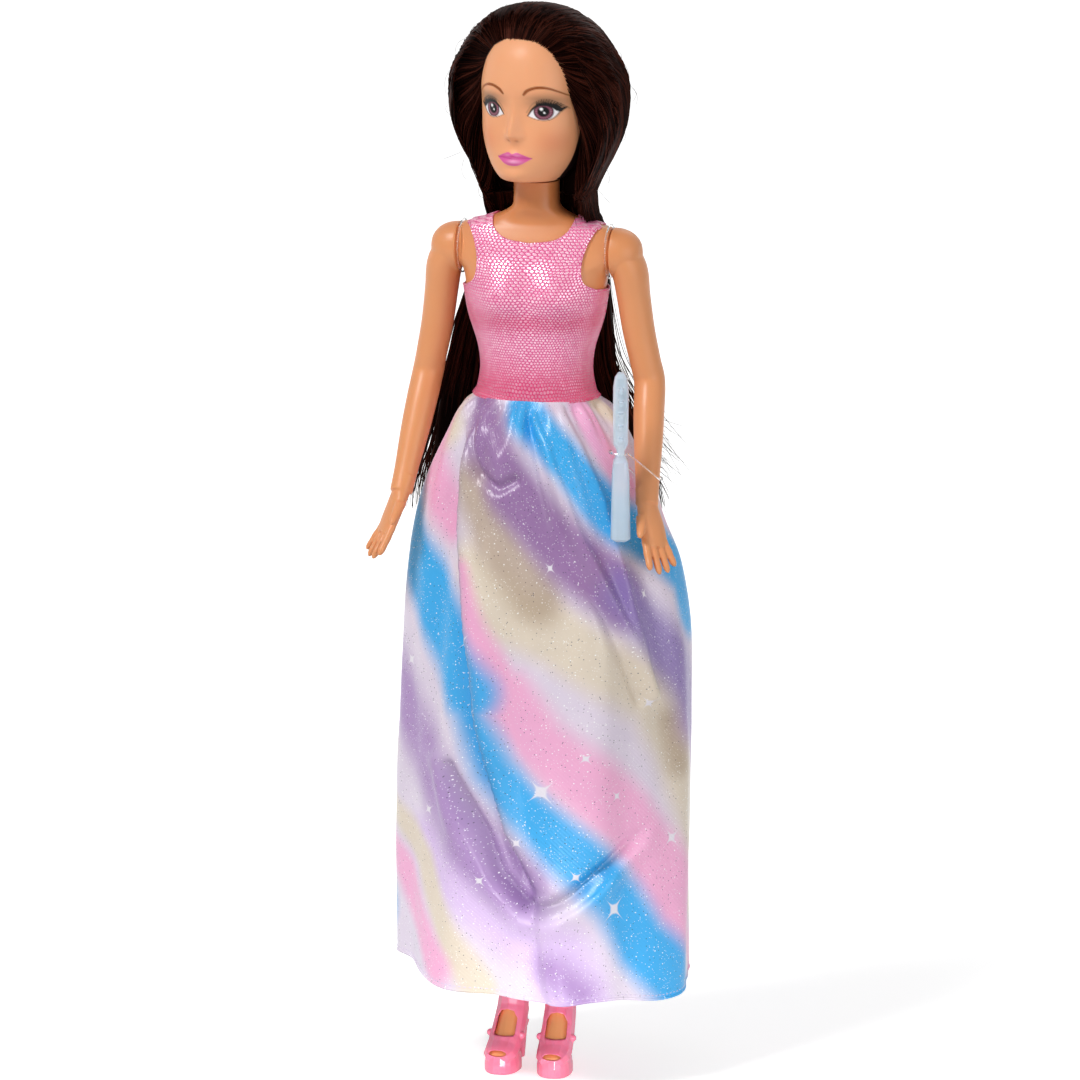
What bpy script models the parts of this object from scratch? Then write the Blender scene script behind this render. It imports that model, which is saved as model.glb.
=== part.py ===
"""Fashion doll, 11.5 inch class, in a knit tank top, a gathered satin skirt and peep-toe heels.

Metres, +Z up. The doll faces -Y and its left side is +X. The origin is on the floor, under the neck's axis.
"""

import math

import bmesh
import bpy
import numpy as np
from mathutils import Matrix, Vector

# Fits
CLEARANCE = 0.0003
OVERRUN = 0.020
WALL = 0.0013

# Heights of the body: the hips stand on the legs, and all above is placed from the hips and the shoulders
HIP_HEIGHT = 0.1700
CROTCH_DROP = 0.0130
SHOULDER_RISE = 0.0608
NECK_RISE = 0.0192
CROTCH_HEIGHT = HIP_HEIGHT - CROTCH_DROP
SHOULDER_HEIGHT = HIP_HEIGHT + SHOULDER_RISE
NECK_TOP = SHOULDER_HEIGHT + NECK_RISE
HEAD_BOTTOM = NECK_TOP + CLEARANCE

# Head
HEAD_HEIGHT = 0.0433
HEAD_WIDTH = 0.0296
HEAD_FRONT = 0.0149
HEAD_BACK = 0.0163
HEAD_TURN = math.radians(-16)
HEAD_WALL = 0.0016
HEAD_FLOOR = 0.0023
NOSE_LENGTH = 0.0026
NOSE_ABOVE_CHIN = 0.0142
NOSE_HEIGHT = HEAD_BOTTOM + NOSE_ABOVE_CHIN
NOSE_WIDTH = 0.0021
NOSE_RISE = 0.0042
EYE_SPACING = 0.0150
EYE_ABOVE_CHIN = 0.0206
EYE_HEIGHT = HEAD_BOTTOM + EYE_ABOVE_CHIN
EYE_DEPTH = 0.0009
EYE_SIZE = 0.0042
MOUTH_ABOVE_CHIN = 0.0078
MOUTH_HEIGHT = HEAD_BOTTOM + MOUTH_ABOVE_CHIN
LIP_LENGTH = 0.0009
LIP_WIDTH = 0.0034
LIP_RISE = 0.0015
EAR_ABOVE_CHIN = 0.0157
EAR_HEIGHT = HEAD_BOTTOM + EAR_ABOVE_CHIN
EAR_LENGTH = 0.0012
EAR_SIZE = 0.0045
HEAD_RING_STEPS = 17
HEAD_SEGMENTS = 28

# Neck and its knob
NECK_RADIUS = 0.0062
KNOB_STEM_RADIUS = 0.0030
KNOB_FLANGE_RADIUS = 0.0047
KNOB_FLANGE_THICKNESS = 0.0015
KNOB_HEAD_RADIUS = 0.0056
KNOB_HEAD_HEIGHT = 0.0028

# Torso
SHOULDER_HALF_WIDTH = 0.0211
CHEST_FRONT = 0.0150
BUST_DROP = 0.0113
BUST_HEIGHT = SHOULDER_HEIGHT - BUST_DROP
BUST_SPACING = 0.0160
BUST_SIZE = 0.0072
BUST_RISE = 0.0030
HIP_HALF_WIDTH = 0.0192
HIP_BACK = 0.0120
PELVIS_HALF_WIDTH = 0.0078
HIP_RADIUS = 0.0131
SPLIT_DEPTH = 0.0006
TORSO_SEGMENTS = 28
TORSO_POWER = 2.2

# Limb pegs
ARM_PEG_RADIUS = 0.0023
ARM_FLANGE_RADIUS = 0.0038
LEG_PEG_RADIUS = 0.0030
LEG_FLANGE_RADIUS = 0.0046
PEG_FLANGE_THICKNESS = 0.0014

# Arms
ARM_CAP_RADIUS = 0.0068
ELBOW_SHARE, WRIST_SHARE, PALM_END_SHARE = 0.5838816, 1.0904605, 1.2549342
ELBOW = (0.0312, 0.0020, SHOULDER_HEIGHT - ELBOW_SHARE * SHOULDER_RISE)
WRIST = (0.0345, -0.0150, SHOULDER_HEIGHT - WRIST_SHARE * SHOULDER_RISE)
PALM_END = (0.0378, -0.0190, SHOULDER_HEIGHT - PALM_END_SHARE * SHOULDER_RISE)
ARM_RADIUS = 0.0046
PALM_HALF_WIDTH = 0.0041
PALM_HALF_THICKNESS = 0.0018
FINGER_RADIUS = 0.00105
FINGER_LENGTH = 0.0088
THUMB_RADIUS = 0.00125
THUMB_LENGTH = 0.0080
HAND_TURN = math.radians(52)
ARM_SEGMENTS = 12

# Legs
LEG_SPACING = 0.0135
THIGH_HALF_WIDTH = 0.0088
ANKLE_HEIGHT = 0.0240
ANKLE_RADIUS = 0.0029
FOOT_REACH = 0.0138
FOOT_WIDTH_SHARE = 0.2753623
FOOT_HALF_WIDTH = FOOT_WIDTH_SHARE * FOOT_REACH
TOE_OUT = math.radians(4)
LEG_SEGMENTS = 12

# Shoes
SHOE_WALL = 0.0009
SHOE_TOP = 0.0196
PLATFORM_HEIGHT = 0.0026
HEEL_RADIUS = 0.0019
HEEL_SHARE = 0.3115942
HEEL_PLACE = HEEL_SHARE * FOOT_REACH
STRAP_WIDTH = 0.0033
VAMP_TOP = 0.0098
TOE_WINDOW_WIDTH = 0.0052
TOE_WINDOW_HEIGHT = 0.0018
NUB_RADIUS = 0.0011

# Bodice
FABRIC = 0.0006
NECKLINE_RISE = 0.0028
NECKLINE_HEIGHT = SHOULDER_HEIGHT + NECKLINE_RISE
NECKLINE_SHARE = 0.5355450
NECKLINE_HALF_WIDTH = NECKLINE_SHARE * SHOULDER_HALF_WIDTH
BACK_NECKLINE_RISE = 0.0064
BACK_NECKLINE_HEIGHT = SHOULDER_HEIGHT + BACK_NECKLINE_RISE
STRAP_RISE = 0.0117
STRAP_TOP = SHOULDER_HEIGHT + STRAP_RISE
STRAP_OUTER_SHARE = 0.8625592
STRAP_OUTER = STRAP_OUTER_SHARE * SHOULDER_HALF_WIDTH
ARMHOLE_IN_SHARE = 0.6540284
ARMHOLE_IN = ARMHOLE_IN_SHARE * SHOULDER_HALF_WIDTH
ARMHOLE_DROP = 0.0102
ARMHOLE_BOTTOM = SHOULDER_HEIGHT - ARMHOLE_DROP
WAIST_SHARE = 0.3655914
BODICE_HEM = CROTCH_HEIGHT + WAIST_SHARE * (NECK_TOP - CROTCH_HEIGHT)
SLIT = 0.0006
CLOSURE_HALF_WIDTH = 0.0026
CLOSURE_DROP = 0.0028
CLOSURE_TOP = SHOULDER_HEIGHT - CLOSURE_DROP
CLOSURE_RISE = 0.0035
CLOSURE_BOTTOM = BODICE_HEM + CLOSURE_RISE

# Skirt
SKIRT_TUCK = 0.0004
SKIRT_TOP = BODICE_HEM - SKIRT_TUCK
SKIRT_HEM = 0.0280
SKIRT_HALF_WIDTH = 0.0405
SKIRT_FRONT = 0.0325
SKIRT_BACK = 0.0325
SKIRT_THICKNESS = 0.0008
SKIRT_SHIFT = 0.0040
GATHER_DEPTH = 0.0009
FOLD_DEPTH = 0.0013
GATHERS = 12
FOLDS = 7
SKIRT_SEGMENTS = 48
WAIST_TAPE_HEIGHT = 0.0040

# Hair
HAIR_LOFT = 0.0044
HAIR_TOP = HEAD_BOTTOM + HEAD_HEIGHT + HAIR_LOFT
NAPE_DROP = 0.0047
HAIR_SPLIT = HEAD_BOTTOM - NAPE_DROP
HAIR_HALF_WIDTH = 0.0258
HAIR_FRONT = 0.0150
HAIR_BACK = 0.0212
HAIRLINE_TOP_SHARE = 0.9053118
HAIRLINE_TOP = HEAD_BOTTOM + HAIRLINE_TOP_SHARE * HEAD_HEIGHT
HAIRLINE_FRONT = 0.0115
HAIRLINE_SIDE_SHARE = 0.5704388
HAIRLINE_SIDE = HEAD_BOTTOM + HAIRLINE_SIDE_SHARE * HEAD_HEIGHT
HAIR_NECK_CLEARANCE = 0.0010
HAIR_RING_STEPS = 14
HAIR_SEGMENTS = 26
FALL_DROP = 0.0130
FALL_END = HIP_HEIGHT - FALL_DROP
FALL_DEPTH = 0.0242
FALL_THICKNESS = 0.0050
FALL_HALF_WIDTH = 0.0300
FALL_SHIFT = 0.0045

# Comb
COMB_PLACE = (0.0287, -0.0215)
COMB_DROP = 0.0085
COMB_BOTTOM = WRIST[2] - COMB_DROP
COMB_LENGTH = 0.0460
COMB_HANDLE_LENGTH = 0.0235
COMB_HANDLE_HALF_WIDTH = 0.0024
COMB_HANDLE_HALF_DEPTH = 0.0042
COMB_NECK_HALF_WIDTH = 0.0011
COMB_HEAD_HALF_WIDTH = 0.0021
COMB_SPINE_HALF_DEPTH = 0.0026
COMB_TOOTH = 0.0013
COMB_TOOTH_REACH = 0.0035
COMB_TOOTH_PITCH = 0.0034
COMB_TEETH = 5
COMB_TURN = math.radians(14)

# Clear thread ties
THREAD_RADIUS = 0.00025
SHOULDER_RING_LIFT = 0.0002
SHOULDER_RING_HEIGHT = SHOULDER_HEIGHT + SHOULDER_RING_LIFT
SHOULDER_RING_SHARE = 0.9763033
SHOULDER_RING_DEPTH = 0.0062
SHOULDER_RING_RISE = 0.0068
TIE_STEPS = 20

SKIN = (0.80, 0.43, 0.25)
VINYL_SKIN = (0.83, 0.46, 0.27)
HAIR = (0.022, 0.006, 0.005)
PINK_KNIT = (0.86, 0.20, 0.42)
SATIN = (0.55, 0.45, 0.78)
SHOE_PINK = (0.95, 0.14, 0.30)
COMB_BLUE = (0.55, 0.74, 0.90)
CLEAR = (0.85, 0.86, 0.86)
TAPE_WHITE = (0.80, 0.78, 0.80)


def clear_scene():
    for found in list(bpy.data.objects):
        bpy.data.objects.remove(found, do_unlink=True)


def material(name, colour, roughness):
    made = bpy.data.materials.new(name)
    made.use_nodes = True
    shader = made.node_tree.nodes["Principled BSDF"]
    shader.inputs["Base Color"].default_value = (*colour, 1)
    shader.inputs["Roughness"].default_value = roughness
    return made


def mesh_object(name, points, faces, look=None):
    mesh = bpy.data.meshes.new(name)
    mesh.from_pydata([tuple(p) for p in points], [], faces)
    mesh.update()
    made = bpy.data.objects.new(name, mesh)
    bpy.context.scene.collection.objects.link(made)
    if look:
        mesh.materials.append(look)
    facing_out(made)
    return made


def facing_out(made):
    """Turns every face outwards, for a closed mesh."""
    body = bmesh.new()
    body.from_mesh(made.data)
    bmesh.ops.recalc_face_normals(body, faces=body.faces)
    if body.calc_volume(signed=True) < 0:
        bmesh.ops.reverse_faces(body, faces=body.faces)
    body.to_mesh(made.data)
    body.free()


def loft(name, rings, look=None):
    """A closed solid through rings of equally many points, with a flat cap at each end."""
    count = len(rings[0])
    points = [p for ring in rings for p in ring]
    faces = []
    for i in range(len(rings) - 1):
        for j in range(count):
            k = (j + 1) % count
            faces.append((i * count + j, i * count + k, (i + 1) * count + k, (i + 1) * count + j))
    for ring_start in (0, (len(rings) - 1) * count):
        faces.append(tuple(range(ring_start, ring_start + count)))
    return mesh_object(name, points, faces, look)


def swell(made, distance):
    """Moves every point along its normal, outwards where distance is positive."""
    body = bmesh.new()
    body.from_mesh(made.data)
    body.normal_update()
    moves = [v.normal * distance for v in body.verts]
    for vertex, move in zip(body.verts, moves):
        vertex.co += move
    body.to_mesh(made.data)
    body.free()
    return made


def apply_boolean(target, other, operation, keep_other=False):
    step = target.modifiers.new(operation.lower(), "BOOLEAN")
    step.operation = operation
    step.solver = "EXACT"
    step.object = other
    graph = bpy.context.evaluated_depsgraph_get()
    cut_mesh = bpy.data.meshes.new_from_object(target.evaluated_get(graph))
    target.modifiers.remove(step)
    target.data = cut_mesh
    if not keep_other:
        bpy.data.objects.remove(other, do_unlink=True)
    return target


def cut(target, other, keep_other=False):
    return apply_boolean(target, other, "DIFFERENCE", keep_other)


def join(target, other, keep_other=False):
    return apply_boolean(target, other, "UNION", keep_other)


def keep_inside(target, other, keep_other=False):
    return apply_boolean(target, other, "INTERSECT", keep_other)


def copy_of(made, name):
    twin = made.copy()
    twin.data = made.data.copy()
    twin.name = name
    bpy.context.scene.collection.objects.link(twin)
    return twin


def box(name, low, high):
    (x0, y0, z0), (x1, y1, z1) = low, high
    lower = [(x0, y0, z0), (x1, y0, z0), (x1, y1, z0), (x0, y1, z0)]
    upper = [(x, y, z1) for x, y, _ in lower]
    return loft(name, [lower, upper])


def cylinder(name, start, end, radius, end_radius=None, segments=18):
    """A round bar or cone between two points."""
    start, end = Vector(start), Vector(end)
    turn = (end - start).to_track_quat("Z", "Y")
    rings = []
    for middle, size in ((start, radius), (end, radius if end_radius is None else end_radius)):
        ring = []
        for i in range(segments):
            angle = 2 * math.pi * i / segments
            ring.append(middle + turn @ Vector((size * math.cos(angle), size * math.sin(angle), 0)))
        rings.append(ring)
    return loft(name, rings)


def prism(name, outline, axis, low, high):
    """An outline pulled along an axis: along Y its points are (x, z), and along X they are (y, z)."""
    rings = []
    for depth in (low, high):
        if axis == "Y":
            rings.append([(u, depth, v) for u, v in outline])
        else:
            rings.append([(depth, u, v) for u, v in outline])
    return loft(name, rings)


def turned(name, profile, centre=(0, 0), segments=20, look=None):
    """A solid of revolution about a vertical axis, from (radius, height) pairs."""
    rings = []
    for radius, height in profile:
        ring = []
        for i in range(segments):
            angle = 2 * math.pi * i / segments
            ring.append(
                (centre[0] + radius * math.cos(angle), centre[1] + radius * math.sin(angle), height)
            )
        rings.append(ring)
    return loft(name, rings, look)


def tube_loop(name, points, radius, look, sides=5):
    """A closed thin loop through points."""
    count = len(points)
    mesh_points, faces = [], []
    for i, point in enumerate(points):
        ahead, behind = Vector(points[(i + 1) % count]), Vector(points[i - 1])
        along = (ahead - behind).normalized()
        side = along.cross(Vector((0, 0, 1)))
        if side.length < 1e-3:
            side = along.cross(Vector((1, 0, 0)))
        side.normalize()
        other = along.cross(side)
        for k in range(sides):
            angle = 2 * math.pi * k / sides
            mesh_points.append(Vector(point) + radius * (math.cos(angle) * side + math.sin(angle) * other))
    for i in range(count):
        for k in range(sides):
            n, m = (i + 1) % count, (k + 1) % sides
            faces.append((i * sides + k, i * sides + m, n * sides + m, n * sides + k))
    return mesh_object(name, mesh_points, faces, look)


def ball(name, centre, radius, segments=10, steps=6):
    rings = []
    for i in range(1, steps):
        tilt = math.pi * i / steps
        ring = []
        for k in range(segments):
            angle = 2 * math.pi * (k + 0.3) / segments
            out = Vector((math.sin(tilt) * math.cos(angle), math.sin(tilt) * math.sin(angle), math.cos(tilt)))
            ring.append(Vector(centre) + radius * out)
        rings.append(ring)
    return loft(name, rings)


def egg_ring(centre, half_width, front, back, height, segments, power=2.0):
    """A level ring, with its own depth in front of and behind the centre."""
    ring = []
    for i in range(segments):
        angle = 2 * math.pi * (i + 0.5) / segments
        c, s = math.cos(angle), math.sin(angle)
        x = half_width * math.copysign(abs(c) ** (2 / power), c)
        depth = back if s > 0 else front
        y = depth * math.copysign(abs(s) ** (2 / power), s)
        ring.append((centre[0] + x, centre[1] + y, height))
    return ring


def smooth(made, angle=40):
    made.data.shade_smooth()
    made.data.set_sharp_from_angle(angle=math.radians(angle))
    return made


def finish(made, name, look):
    made.name = name
    made.data.name = name
    made.data.materials.clear()
    made.data.materials.append(look)
    return smooth(made)


def spread(rows, at, column):
    """A smooth curve through a table's column, read at a share between its first and last rows."""
    places = [row[0] for row in rows]
    values = [row[column] for row in rows]
    slopes = []
    for i in range(len(rows)):
        a, b = max(i - 1, 0), min(i + 1, len(rows) - 1)
        slopes.append((values[b] - values[a]) / (places[b] - places[a]))
    i = min(max(int(np.searchsorted(places, at)) - 1, 0), len(rows) - 2)
    step = places[i + 1] - places[i]
    t = min(max((at - places[i]) / step, 0), 1)
    return (
        (2 * t**3 - 3 * t**2 + 1) * values[i]
        + (t**3 - 2 * t**2 + t) * step * slopes[i]
        + (3 * t**2 - 2 * t**3) * values[i + 1]
        + (t**3 - t**2) * step * slopes[i + 1]
    )


def bump(distance, size):
    return math.exp(-((distance / size) ** 2))


# Head rows: share of the height, then shares of the half-width, the front and the back depth
HEAD_SHARES = [
    (0.000, 0.43, 0.42, 0.38),
    (0.018, 0.52, 0.80, 0.43),
    (0.050, 0.61, 0.93, 0.49),
    (0.100, 0.73, 0.97, 0.57),
    (0.155, 0.83, 0.965, 0.67),
    (0.225, 0.915, 0.95, 0.78),
    (0.315, 0.98, 0.93, 0.89),
    (0.405, 1.00, 0.905, 0.96),
    (0.500, 1.00, 0.935, 1.00),
    (0.615, 0.985, 0.995, 1.00),
    (0.730, 0.925, 0.965, 0.955),
    (0.835, 0.805, 0.865, 0.845),
    (0.915, 0.610, 0.680, 0.665),
    (0.970, 0.380, 0.440, 0.430),
    (1.000, 0.100, 0.120, 0.120),
]


def head_rings(segments, steps):
    """Level rings of the bare head, with the nose, eye sockets, lips and ears raised on them."""
    rings = []
    for i in range(steps + 1):
        share = (1 - math.cos(math.pi * i / steps)) / 2
        height = HEAD_BOTTOM + share * HEAD_HEIGHT
        half = HEAD_WIDTH / 2 * spread(HEAD_SHARES, share, 1)
        front = HEAD_FRONT * spread(HEAD_SHARES, share, 2)
        back = HEAD_BACK * spread(HEAD_SHARES, share, 3)
        ring = []
        for x, y, z in egg_ring((0, 0), half, front, back, height, segments, 2.15):
            if y < 0:
                y -= face_relief(x, z)
            ear = bump(z - EAR_HEIGHT, EAR_SIZE) * bump(y, EAR_SIZE * 0.6) * EAR_LENGTH
            x += math.copysign(ear, x)
            ring.append((x, y, z))
        rings.append(ring)
    return rings


def face_relief(x, z):
    """How far the face stands forward of the plain egg at a place seen from the front."""
    nose_end = bump(x, NOSE_WIDTH) * bump(z - NOSE_HEIGHT, NOSE_RISE * (0.55 if z < NOSE_HEIGHT else 1.0))
    bridge = bump(x, NOSE_WIDTH) * bump(z - NOSE_HEIGHT - NOSE_RISE, NOSE_RISE) / 3
    sockets = bump(abs(x) - EYE_SPACING / 2, EYE_SIZE) * bump(z - EYE_HEIGHT, EYE_SIZE * 0.8)
    lips = bump(x, LIP_WIDTH) * bump(z - MOUTH_HEIGHT, LIP_RISE)
    return (nose_end + bridge) * NOSE_LENGTH - sockets * EYE_DEPTH + lips * LIP_LENGTH


def turn_head(made):
    made.data.transform(Matrix.Rotation(HEAD_TURN, 4, "Z"))
    return made


def make_head(look):
    head = loft("head", head_rings(HEAD_SEGMENTS, HEAD_RING_STEPS))
    hollow_rings = []
    hollow_bottom = HEAD_BOTTOM + HEAD_FLOOR
    hollow_height = HEAD_HEIGHT - HEAD_FLOOR - HEAD_WALL
    for i in range(9):
        height = hollow_bottom + hollow_height * (1 - math.cos(math.pi * i / 8)) / 2
        share = (height - HEAD_BOTTOM) / HEAD_HEIGHT
        half = HEAD_WIDTH / 2 * spread(HEAD_SHARES, share, 1) - HEAD_WALL
        front = HEAD_FRONT * spread(HEAD_SHARES, share, 2) - HEAD_WALL - EYE_DEPTH / 2
        back = HEAD_BACK * spread(HEAD_SHARES, share, 3) - HEAD_WALL
        half, front, back = (max(size, HEAD_WALL / 4) for size in (half, front, back))
        hollow_rings.append(egg_ring((0, 0), half, front, back, height, 20))
    cut(head, loft("head_hollow", hollow_rings))
    neck_hole = KNOB_STEM_RADIUS + CLEARANCE
    hole_end = hollow_bottom + HEAD_WALL
    cut(head, cylinder("neck_hole", (0, 0, HEAD_BOTTOM - HEAD_WALL), (0, 0, hole_end), neck_hole))
    turn_head(head)
    return finish(head, "head", look)


# Torso rows: share of the height from the crotch to the neck's top, then shares of the hips' half-width,
# the chest's front depth and the hips' back depth
TORSO_SHARES = [
    (0.0000, 0.300, 0.267, 0.383),
    (0.0215, 0.520, 0.440, 0.650),
    (0.0645, 0.830, 0.587, 0.883),
    (0.1398, 0.990, 0.667, 1.000),
    (0.2151, 1.000, 0.693, 0.983),
    (0.2903, 0.940, 0.707, 0.867),
    (0.3656, 0.846, 0.687, 0.733),
    (0.4387, 0.776, 0.653, 0.683),
    (0.5087, 0.807, 0.680, 0.708),
    (0.6020, 0.945, 0.747, 0.742),
    (0.6720, 1.005, 0.800, 0.750),
]
# The same for the shoulders and the neck, with the width as a share of the shoulders' or the neck's own
SHOULDER_SHARES = [
    (0.7351, 0.9700095, 0.720, 0.750),
    (0.7716, 1.1228815, 0.633, 0.725),
    (0.8228, 1.1228815, 0.533, 0.667),
    (0.8645, 1.0109573, 0.413, 0.567),
    (0.8784, 0.7416114, 0.373, 0.533),
]
NECK_SHARES = [
    (0.8978, 1.6815484, 0.373, 0.533),
    (0.9215, 1.0993548, 0.430, 0.538),
    (0.9538, 1.0002581, 0.413, 0.517),
    (1.0000, 1.0002581, 0.413, 0.517),
]


def torso_solid(name, outward=0.0):
    """The body from the crotch to the neck, swollen outwards by a clearance or inwards by a wall."""
    rings = []
    rows = [(HIP_HALF_WIDTH, row) for row in TORSO_SHARES]
    rows += [(SHOULDER_HALF_WIDTH, row) for row in SHOULDER_SHARES]
    rows += [(NECK_RADIUS, row) for row in NECK_SHARES]
    for width, (share, wide, fore, aft) in rows:
        height = CROTCH_HEIGHT + share * (NECK_TOP - CROTCH_HEIGHT)
        half, front, back = wide * width, fore * CHEST_FRONT, aft * HIP_BACK
        ring = egg_ring((0, 0), half, front, back, height, TORSO_SEGMENTS, TORSO_POWER)
        for i, (x, y, z) in enumerate(ring):
            if y < 0:
                breast = bump(abs(x) - BUST_SPACING / 2, BUST_SIZE) * bump(z - BUST_HEIGHT, BUST_SIZE)
                y -= BUST_RISE * breast
            ring[i] = (x, y, z)
        rings.append(ring)
    body = loft(name, rings)
    if outward:
        swell(body, outward)
    side = SHOULDER_HALF_WIDTH + outward
    low = (-side, -OVERRUN, CROTCH_HEIGHT - OVERRUN)
    return keep_inside(body, box("sides", low, (side, OVERRUN, NECK_TOP + OVERRUN)))


def hip_bar(name, sign, inner, radius):
    """A bar along the hips' axis on one side, from an inner place outwards."""
    start, end = (sign * inner, 0, HIP_HEIGHT), (sign * 2 * OVERRUN, 0, HIP_HEIGHT)
    return cylinder(name, start, end, radius, segments=36)


def make_torso(look):
    body = torso_solid("torso")
    hollow = torso_solid("torso_hollow", -WALL)
    room = HIP_RADIUS + 2 * CLEARANCE
    for sign in (-1, 1):
        cut(body, hip_bar("hip_cut", sign, PELVIS_HALF_WIDTH, room))
        cut(hollow, hip_bar("hip_wall", sign, PELVIS_HALF_WIDTH - WALL, room + WALL))
    cut(body, hollow)
    for sign in (-1, 1):
        leg_hole = LEG_PEG_RADIUS + CLEARANCE
        inside = sign * (PELVIS_HALF_WIDTH - 2 * WALL)
        outside = sign * (PELVIS_HALF_WIDTH + WALL)
        cut(body, cylinder("leg_hole", (inside, 0, HIP_HEIGHT), (outside, 0, HIP_HEIGHT), leg_hole))
        arm_hole = ARM_PEG_RADIUS + CLEARANCE
        inside = sign * (SHOULDER_HALF_WIDTH - 2 * WALL)
        outside = sign * (SHOULDER_HALF_WIDTH + WALL)
        cut(body, cylinder(
            "arm_hole", (inside, 0, SHOULDER_HEIGHT), (outside, 0, SHOULDER_HEIGHT), arm_hole))
    stem_hole = KNOB_STEM_RADIUS + CLEARANCE
    cut(body, cylinder("knob_hole", (0, 0, NECK_TOP - 2 * WALL), (0, 0, NECK_TOP + WALL), stem_hole))
    halves = []
    for name, low, high in (
        ("torso_front", -2 * OVERRUN, SPLIT_DEPTH - CLEARANCE / 2),
        ("torso_back", SPLIT_DEPTH + CLEARANCE / 2, 2 * OVERRUN),
    ):
        half = copy_of(body, name)
        ends = (-2 * OVERRUN, low, CROTCH_HEIGHT - OVERRUN), (2 * OVERRUN, high, NECK_TOP + OVERRUN)
        keep_inside(half, box("half", *ends))
        halves.append(finish(half, name, look))
    bpy.data.objects.remove(body, do_unlink=True)
    return halves


def make_neck_knob(look):
    under_roof = NECK_TOP - WALL - CLEARANCE
    in_head = HEAD_BOTTOM + HEAD_FLOOR + CLEARANCE
    profile = [
        (KNOB_FLANGE_RADIUS, under_roof - KNOB_FLANGE_THICKNESS),
        (KNOB_FLANGE_RADIUS, under_roof),
        (KNOB_STEM_RADIUS, under_roof),
        (KNOB_STEM_RADIUS, in_head),
        (KNOB_HEAD_RADIUS, in_head),
        (KNOB_HEAD_RADIUS, in_head + KNOB_HEAD_HEIGHT / 3),
        (KNOB_STEM_RADIUS, in_head + KNOB_HEAD_HEIGHT),
    ]
    return finish(turned("neck_knob", profile), "neck_knob", look)


def along(points, widths, depths, turns, segments):
    """Rings square to a path, each with its own half-width, half-depth and turn about the path."""
    rings = []
    for i, point in enumerate(points):
        ahead = Vector(points[min(i + 1, len(points) - 1)])
        behind = Vector(points[max(i - 1, 0)])
        direction = (ahead - behind).normalized()
        side = Vector((1, 0, 0))
        side = (side - direction * side.dot(direction)).normalized()
        fore = direction.cross(side)
        ring = []
        for k in range(segments):
            angle = 2 * math.pi * k / segments
            u = widths[i] * math.cos(angle)
            v = depths[i] * math.sin(angle)
            c, s = math.cos(turns[i]), math.sin(turns[i])
            ring.append(Vector(point) + side * (u * c - v * s) + fore * (u * s + v * c))
        rings.append(ring)
    return rings


def between(a, b, share):
    return Vector(a).lerp(Vector(b), share)


# Arm rows: share of the way from the shoulder at 0 by the elbow at 1 to the wrist at 2, then shares of the
# arm's radius for the outward shift, the half-width and the half-depth
ARM_SHARES = [
    (-0.105, 0.28, 0.70, 0.85),
    (0.00, 0.00, 1.00, 1.30),
    (0.14, 0.22, 1.06, 1.30),
    (0.33, 0.13, 1.00, 1.12),
    (0.60, 0.00, 0.96, 1.02),
    (0.85, 0.00, 0.92, 0.98),
    (1.00, 0.00, 0.93, 0.98),
    (1.25, 0.00, 0.92, 0.96),
    (1.50, 0.00, 0.86, 0.86),
    (1.80, 0.00, 0.72, 0.68),
    (2.00, 0.00, 0.68, 0.62),
]
CAP_SHARES = [0, 0.25, 0.5, 0.75, 0.93]


def make_arm(sign, name, look):
    """An arm with its hand, and the flanged peg that snaps into the shoulder."""
    face = SHOULDER_HALF_WIDTH + CLEARANCE
    shoulder = Vector((face + 0.55 * ARM_RADIUS, 0, SHOULDER_HEIGHT))
    points, widths, depths = [], [], []
    for share, shift, wide, deep in ARM_SHARES:
        bent = share > 1
        start, end = (ELBOW, WRIST) if bent else (shoulder, ELBOW)
        points.append(between(start, end, share - bent) + Vector((shift * ARM_RADIUS, 0, 0)))
        widths.append(ARM_RADIUS * wide)
        depths.append(ARM_RADIUS * deep)
    arm = loft(name, along(points, widths, depths, [0] * len(points), ARM_SEGMENTS))
    cap_end = face + 1.25 * ARM_CAP_RADIUS
    cap_rings = []
    for share in CAP_SHARES:
        radius = ARM_CAP_RADIUS * math.sqrt(1 - share**2.4)
        place = face + share * (cap_end - face)
        ring = []
        for i in range(24):
            angle = 2 * math.pi * i / 24
            ring.append((place, radius * math.cos(angle), SHOULDER_HEIGHT + radius * math.sin(angle)))
        cap_rings.append(ring)
    join(arm, loft("arm_cap", cap_rings))
    join(arm, make_hand())
    low = (face - 2 * OVERRUN, -2 * OVERRUN, 0)
    cut(arm, box("shoulder_face", low, (face, 2 * OVERRUN, HEAD_BOTTOM)))
    inner_wall = SHOULDER_HALF_WIDTH - WALL
    flange = inner_wall - CLEARANCE
    peg_start = (flange - PEG_FLANGE_THICKNESS / 2, 0, SHOULDER_HEIGHT)
    join(arm, cylinder("arm_peg", peg_start, (face + ARM_RADIUS, 0, SHOULDER_HEIGHT), ARM_PEG_RADIUS))
    flange_ends = (flange - PEG_FLANGE_THICKNESS, 0, SHOULDER_HEIGHT), (flange, 0, SHOULDER_HEIGHT)
    join(arm, cylinder("arm_flange", *flange_ends, ARM_FLANGE_RADIUS))
    if sign < 0:
        arm.data.transform(Matrix.Scale(-1, 4, (1, 0, 0)))
        facing_out(arm)
    return finish(arm, name, look)


# Palm rows: share of the way from the wrist to the palm's end, then of its half-width and half-thickness
PALM_SHARES = [
    (-0.45, 0.74, 1.50),
    (0.00, 0.74, 1.35),
    (0.40, 0.94, 1.10),
    (0.80, 1.02, 0.95),
    (1.08, 0.95, 0.80),
]
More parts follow.
